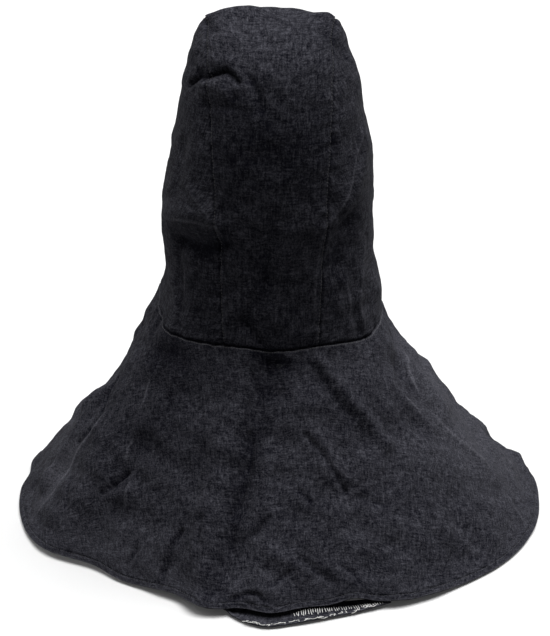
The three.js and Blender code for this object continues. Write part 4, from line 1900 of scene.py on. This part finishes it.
@dataclass
class Hood:
    """The whole hood: builds the cloth pieces and their threads, and dresses them."""

    bag: HeadBag = field(default_factory=HeadBag)
    front_reach: float = 280.0
    strip_cut: Cut = Cut(0.134, 0.62, 0.07)
    side_cut: Cut = Cut(0.3, 0.34, 0.074)
    cape_cut: Cut = Cut(1.02, 0.62, 0.385)
    flap_cut: Cut = Cut(0.2, 0.05, 0.0064)
    seam_size: StitchSize = StitchSize(3.6, 2.4, 0.62)
    neck_size: StitchSize = StitchSize(3.2, 3.0, 0.42)
    hem_size: StitchSize = StitchSize(3.6, 2.9, 0.38)
    seam_offset: float = 1.4
    neck_fall: float = 4.0
    neck_proud: float = 0.2
    hem_inset: float = 0.4
    hem_proud: float = 0.15

    def __post_init__(self) -> None:
        """Sets the other parts on the bag and finds the hood's place."""
        self.cape = Cape(self.bag)
        self.flap = HemFlap(self.cape)
        self.place = Place.of_frame(self.bag.axis_x, self.front_reach)
        self.finishes = Finishes()

    def dress(self, piece: bpy.types.Object, slot: Slot) -> bpy.types.Object:
        """Ties a piece to the hood's body.

        Args:
            piece: The piece.
            slot: Its slot; not used.

        Returns:
            The piece.
        """
        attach(piece, BODY)
        return report(piece)

    def sheet(self, name: str, node: str, cloth: Cloth, cut: Cut, rests_on: list[str]) -> None:
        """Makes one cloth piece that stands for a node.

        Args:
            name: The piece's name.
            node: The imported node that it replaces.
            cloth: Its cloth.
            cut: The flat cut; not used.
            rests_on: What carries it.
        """
        piece = self.dress(cloth.piece(name, self.place, self.finishes), Slot.DENIM)
        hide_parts(node)
        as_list(rests_on)

    def build_cloth(self) -> None:
        """Makes the five cloth pieces."""
        self.sheet("strip_cloth", "centre_panel", self.bag.strip(), self.strip_cut, ["cape"])
        self.sheet("left_cloth", "side_panel_left", self.bag.side(-1), self.side_cut, ["cape"])
        self.sheet("right_cloth", "side_panel_right", self.bag.side(1), self.side_cut, ["cape"])
        self.sheet("cape_cloth", "cape", self.cape.cloth(), self.cape_cut, ["hem_flap"])
        self.sheet("flap_cloth", "hem_flap", self.flap.cloth(), self.flap_cut, ["cape"])

    def build_threads(self) -> None:
        """Sews the seams, the hems and the overlock."""
        tree, wound = StitchTree(), ThreadTree()
        thread, pale = self.finishes.thread, self.finishes.pale_thread
        left, right = (self.bag.seam_line(side, self.seam_offset) for side in (-1, 1))
        neck = self.cape.ring_line(self.neck_fall, NECK_POINTS, self.neck_proud)
        face = self.bag.face_line(self.bag.face_hem)
        hem_fall = self.cape.slant - self.cape.hem_band + self.hem_inset
        hem = self.cape.ring_line(hem_fall, HEM_POINTS, self.hem_proud)
        rows = (
            ("seam_stitches_left", left, False, self.seam_size, thread),
            ("seam_stitches_right", right, False, self.seam_size, thread),
            ("neck_stitches", neck, True, self.neck_size, pale),
            ("face_stitches", face, True, self.hem_size, thread),
            ("hem_stitches", hem, True, self.hem_size, thread),
        )
        for name, line, closed, size, finish in rows:
            piece = tree.sew(name, [self.place.metres(line)], closed, size.values(), finish)
            self.dress(piece, Slot.THREAD)
        radius = {"Thread Radius": self.flap.thread_radius * MM}
        overlock = {"overlock_loops": self.flap.loop_lines(), "overlock_ladder": self.flap.ladder_lines()}
        for name, lines in overlock.items():
            threads = [self.place.metres(line) for line in lines]
            piece = wound.sew(name, threads, False, radius, self.finishes.overlock)
            self.dress(piece, Slot.OVERLOCK)


@dataclass(frozen=True)
class SoftLight:
    """Wide even light: the way that it comes from, its spread in degrees and its strength."""

    name: str
    way: tuple[float, float, float]
    spread: float
    strength: float
    distance: float = 3.0

    def build(self) -> None:
        """Adds the light to the scene."""
        light = bpy.data.lights.new(self.name, "SUN")
        light.angle = math.radians(self.spread)
        light.energy = self.strength
        lamp = placed(self.name, light)
        lamp.location = Vector(self.way) * self.distance
        lamp.rotation_euler = Vector(self.way).to_track_quat("Z", "Y").to_euler()


@dataclass
class Studio:
    """White floor, soft light from above and a camera at the photo's angle."""

    place: Place
    aim: tuple[float, float, float] = (-7.5, -111.0, 265.0)
    distance: float = 2.2
    elevation: float = 22.0
    lens: float = 118.6
    floor_half: float = 7.0
    lights: tuple[SoftLight, ...] = (
        SoftLight("top_light", (0.12, 0.02, 1.0), 52.0, 2.58),
        SoftLight("right_light", (0.45, 0.3, 0.85), 40.0, 1.2),
        SoftLight("left_light", (-0.75, 0.3, 0.6), 50.0, 0.45),
    )
    world_strength: float = 0.1

    def build_floor(self) -> None:
        """Lays the floor."""
        half = self.floor_half
        mesh = bpy.data.meshes.new("studio_floor")
        corners = [(-half, -half, 0), (half, -half, 0), (half, half, 0), (-half, half, 0)]
        mesh.from_pydata(corners, [], [(0, 1, 2, 3)])
        mesh.materials.append(FloorFinish().material())
        floor = placed("studio_floor", mesh)
        floor.visible_diffuse = False

    def build_light(self) -> None:
        """Sets the lights and the plain surround."""
        for light in self.lights:
            light.build()
        world = bpy.data.worlds.new("surround")
        world.use_nodes = True
        graph = NodeGraph(world.node_tree)
        back = graph.add("ShaderNodeBackground", Color=(1.0, 1.0, 1.0, 1.0), Strength=self.world_strength)
        graph.add("ShaderNodeOutputWorld", Surface=back.outputs[0])
        bpy.context.scene.world = world

    def build_camera(self) -> None:
        """Sets the camera and a plain view transform."""
        data = bpy.data.cameras.new("camera")
        data.lens = self.lens
        camera = placed("camera", data)
        lift = math.radians(self.elevation)
        back = Vector((0.0, -math.cos(lift), math.sin(lift)))
        camera.location = Vector(self.place.metres(np.array(self.aim))) + back * self.distance
        camera.rotation_euler = (-back).to_track_quat("-Z", "Y").to_euler()
        scene = bpy.context.scene
        scene.camera = camera
        scene.view_settings.view_transform = "Standard"


def main() -> None:
    """Builds the hood and its studio."""
    logging.basicConfig(level=logging.INFO, format="%(name)s %(message)s")
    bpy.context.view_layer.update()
    hood = Hood()
    hood.build_cloth()
    hood.build_threads()
    studio = Studio(hood.place)
    studio.build_floor()
    studio.build_light()
    studio.build_camera()


if __name__ == "__main__":
    main()
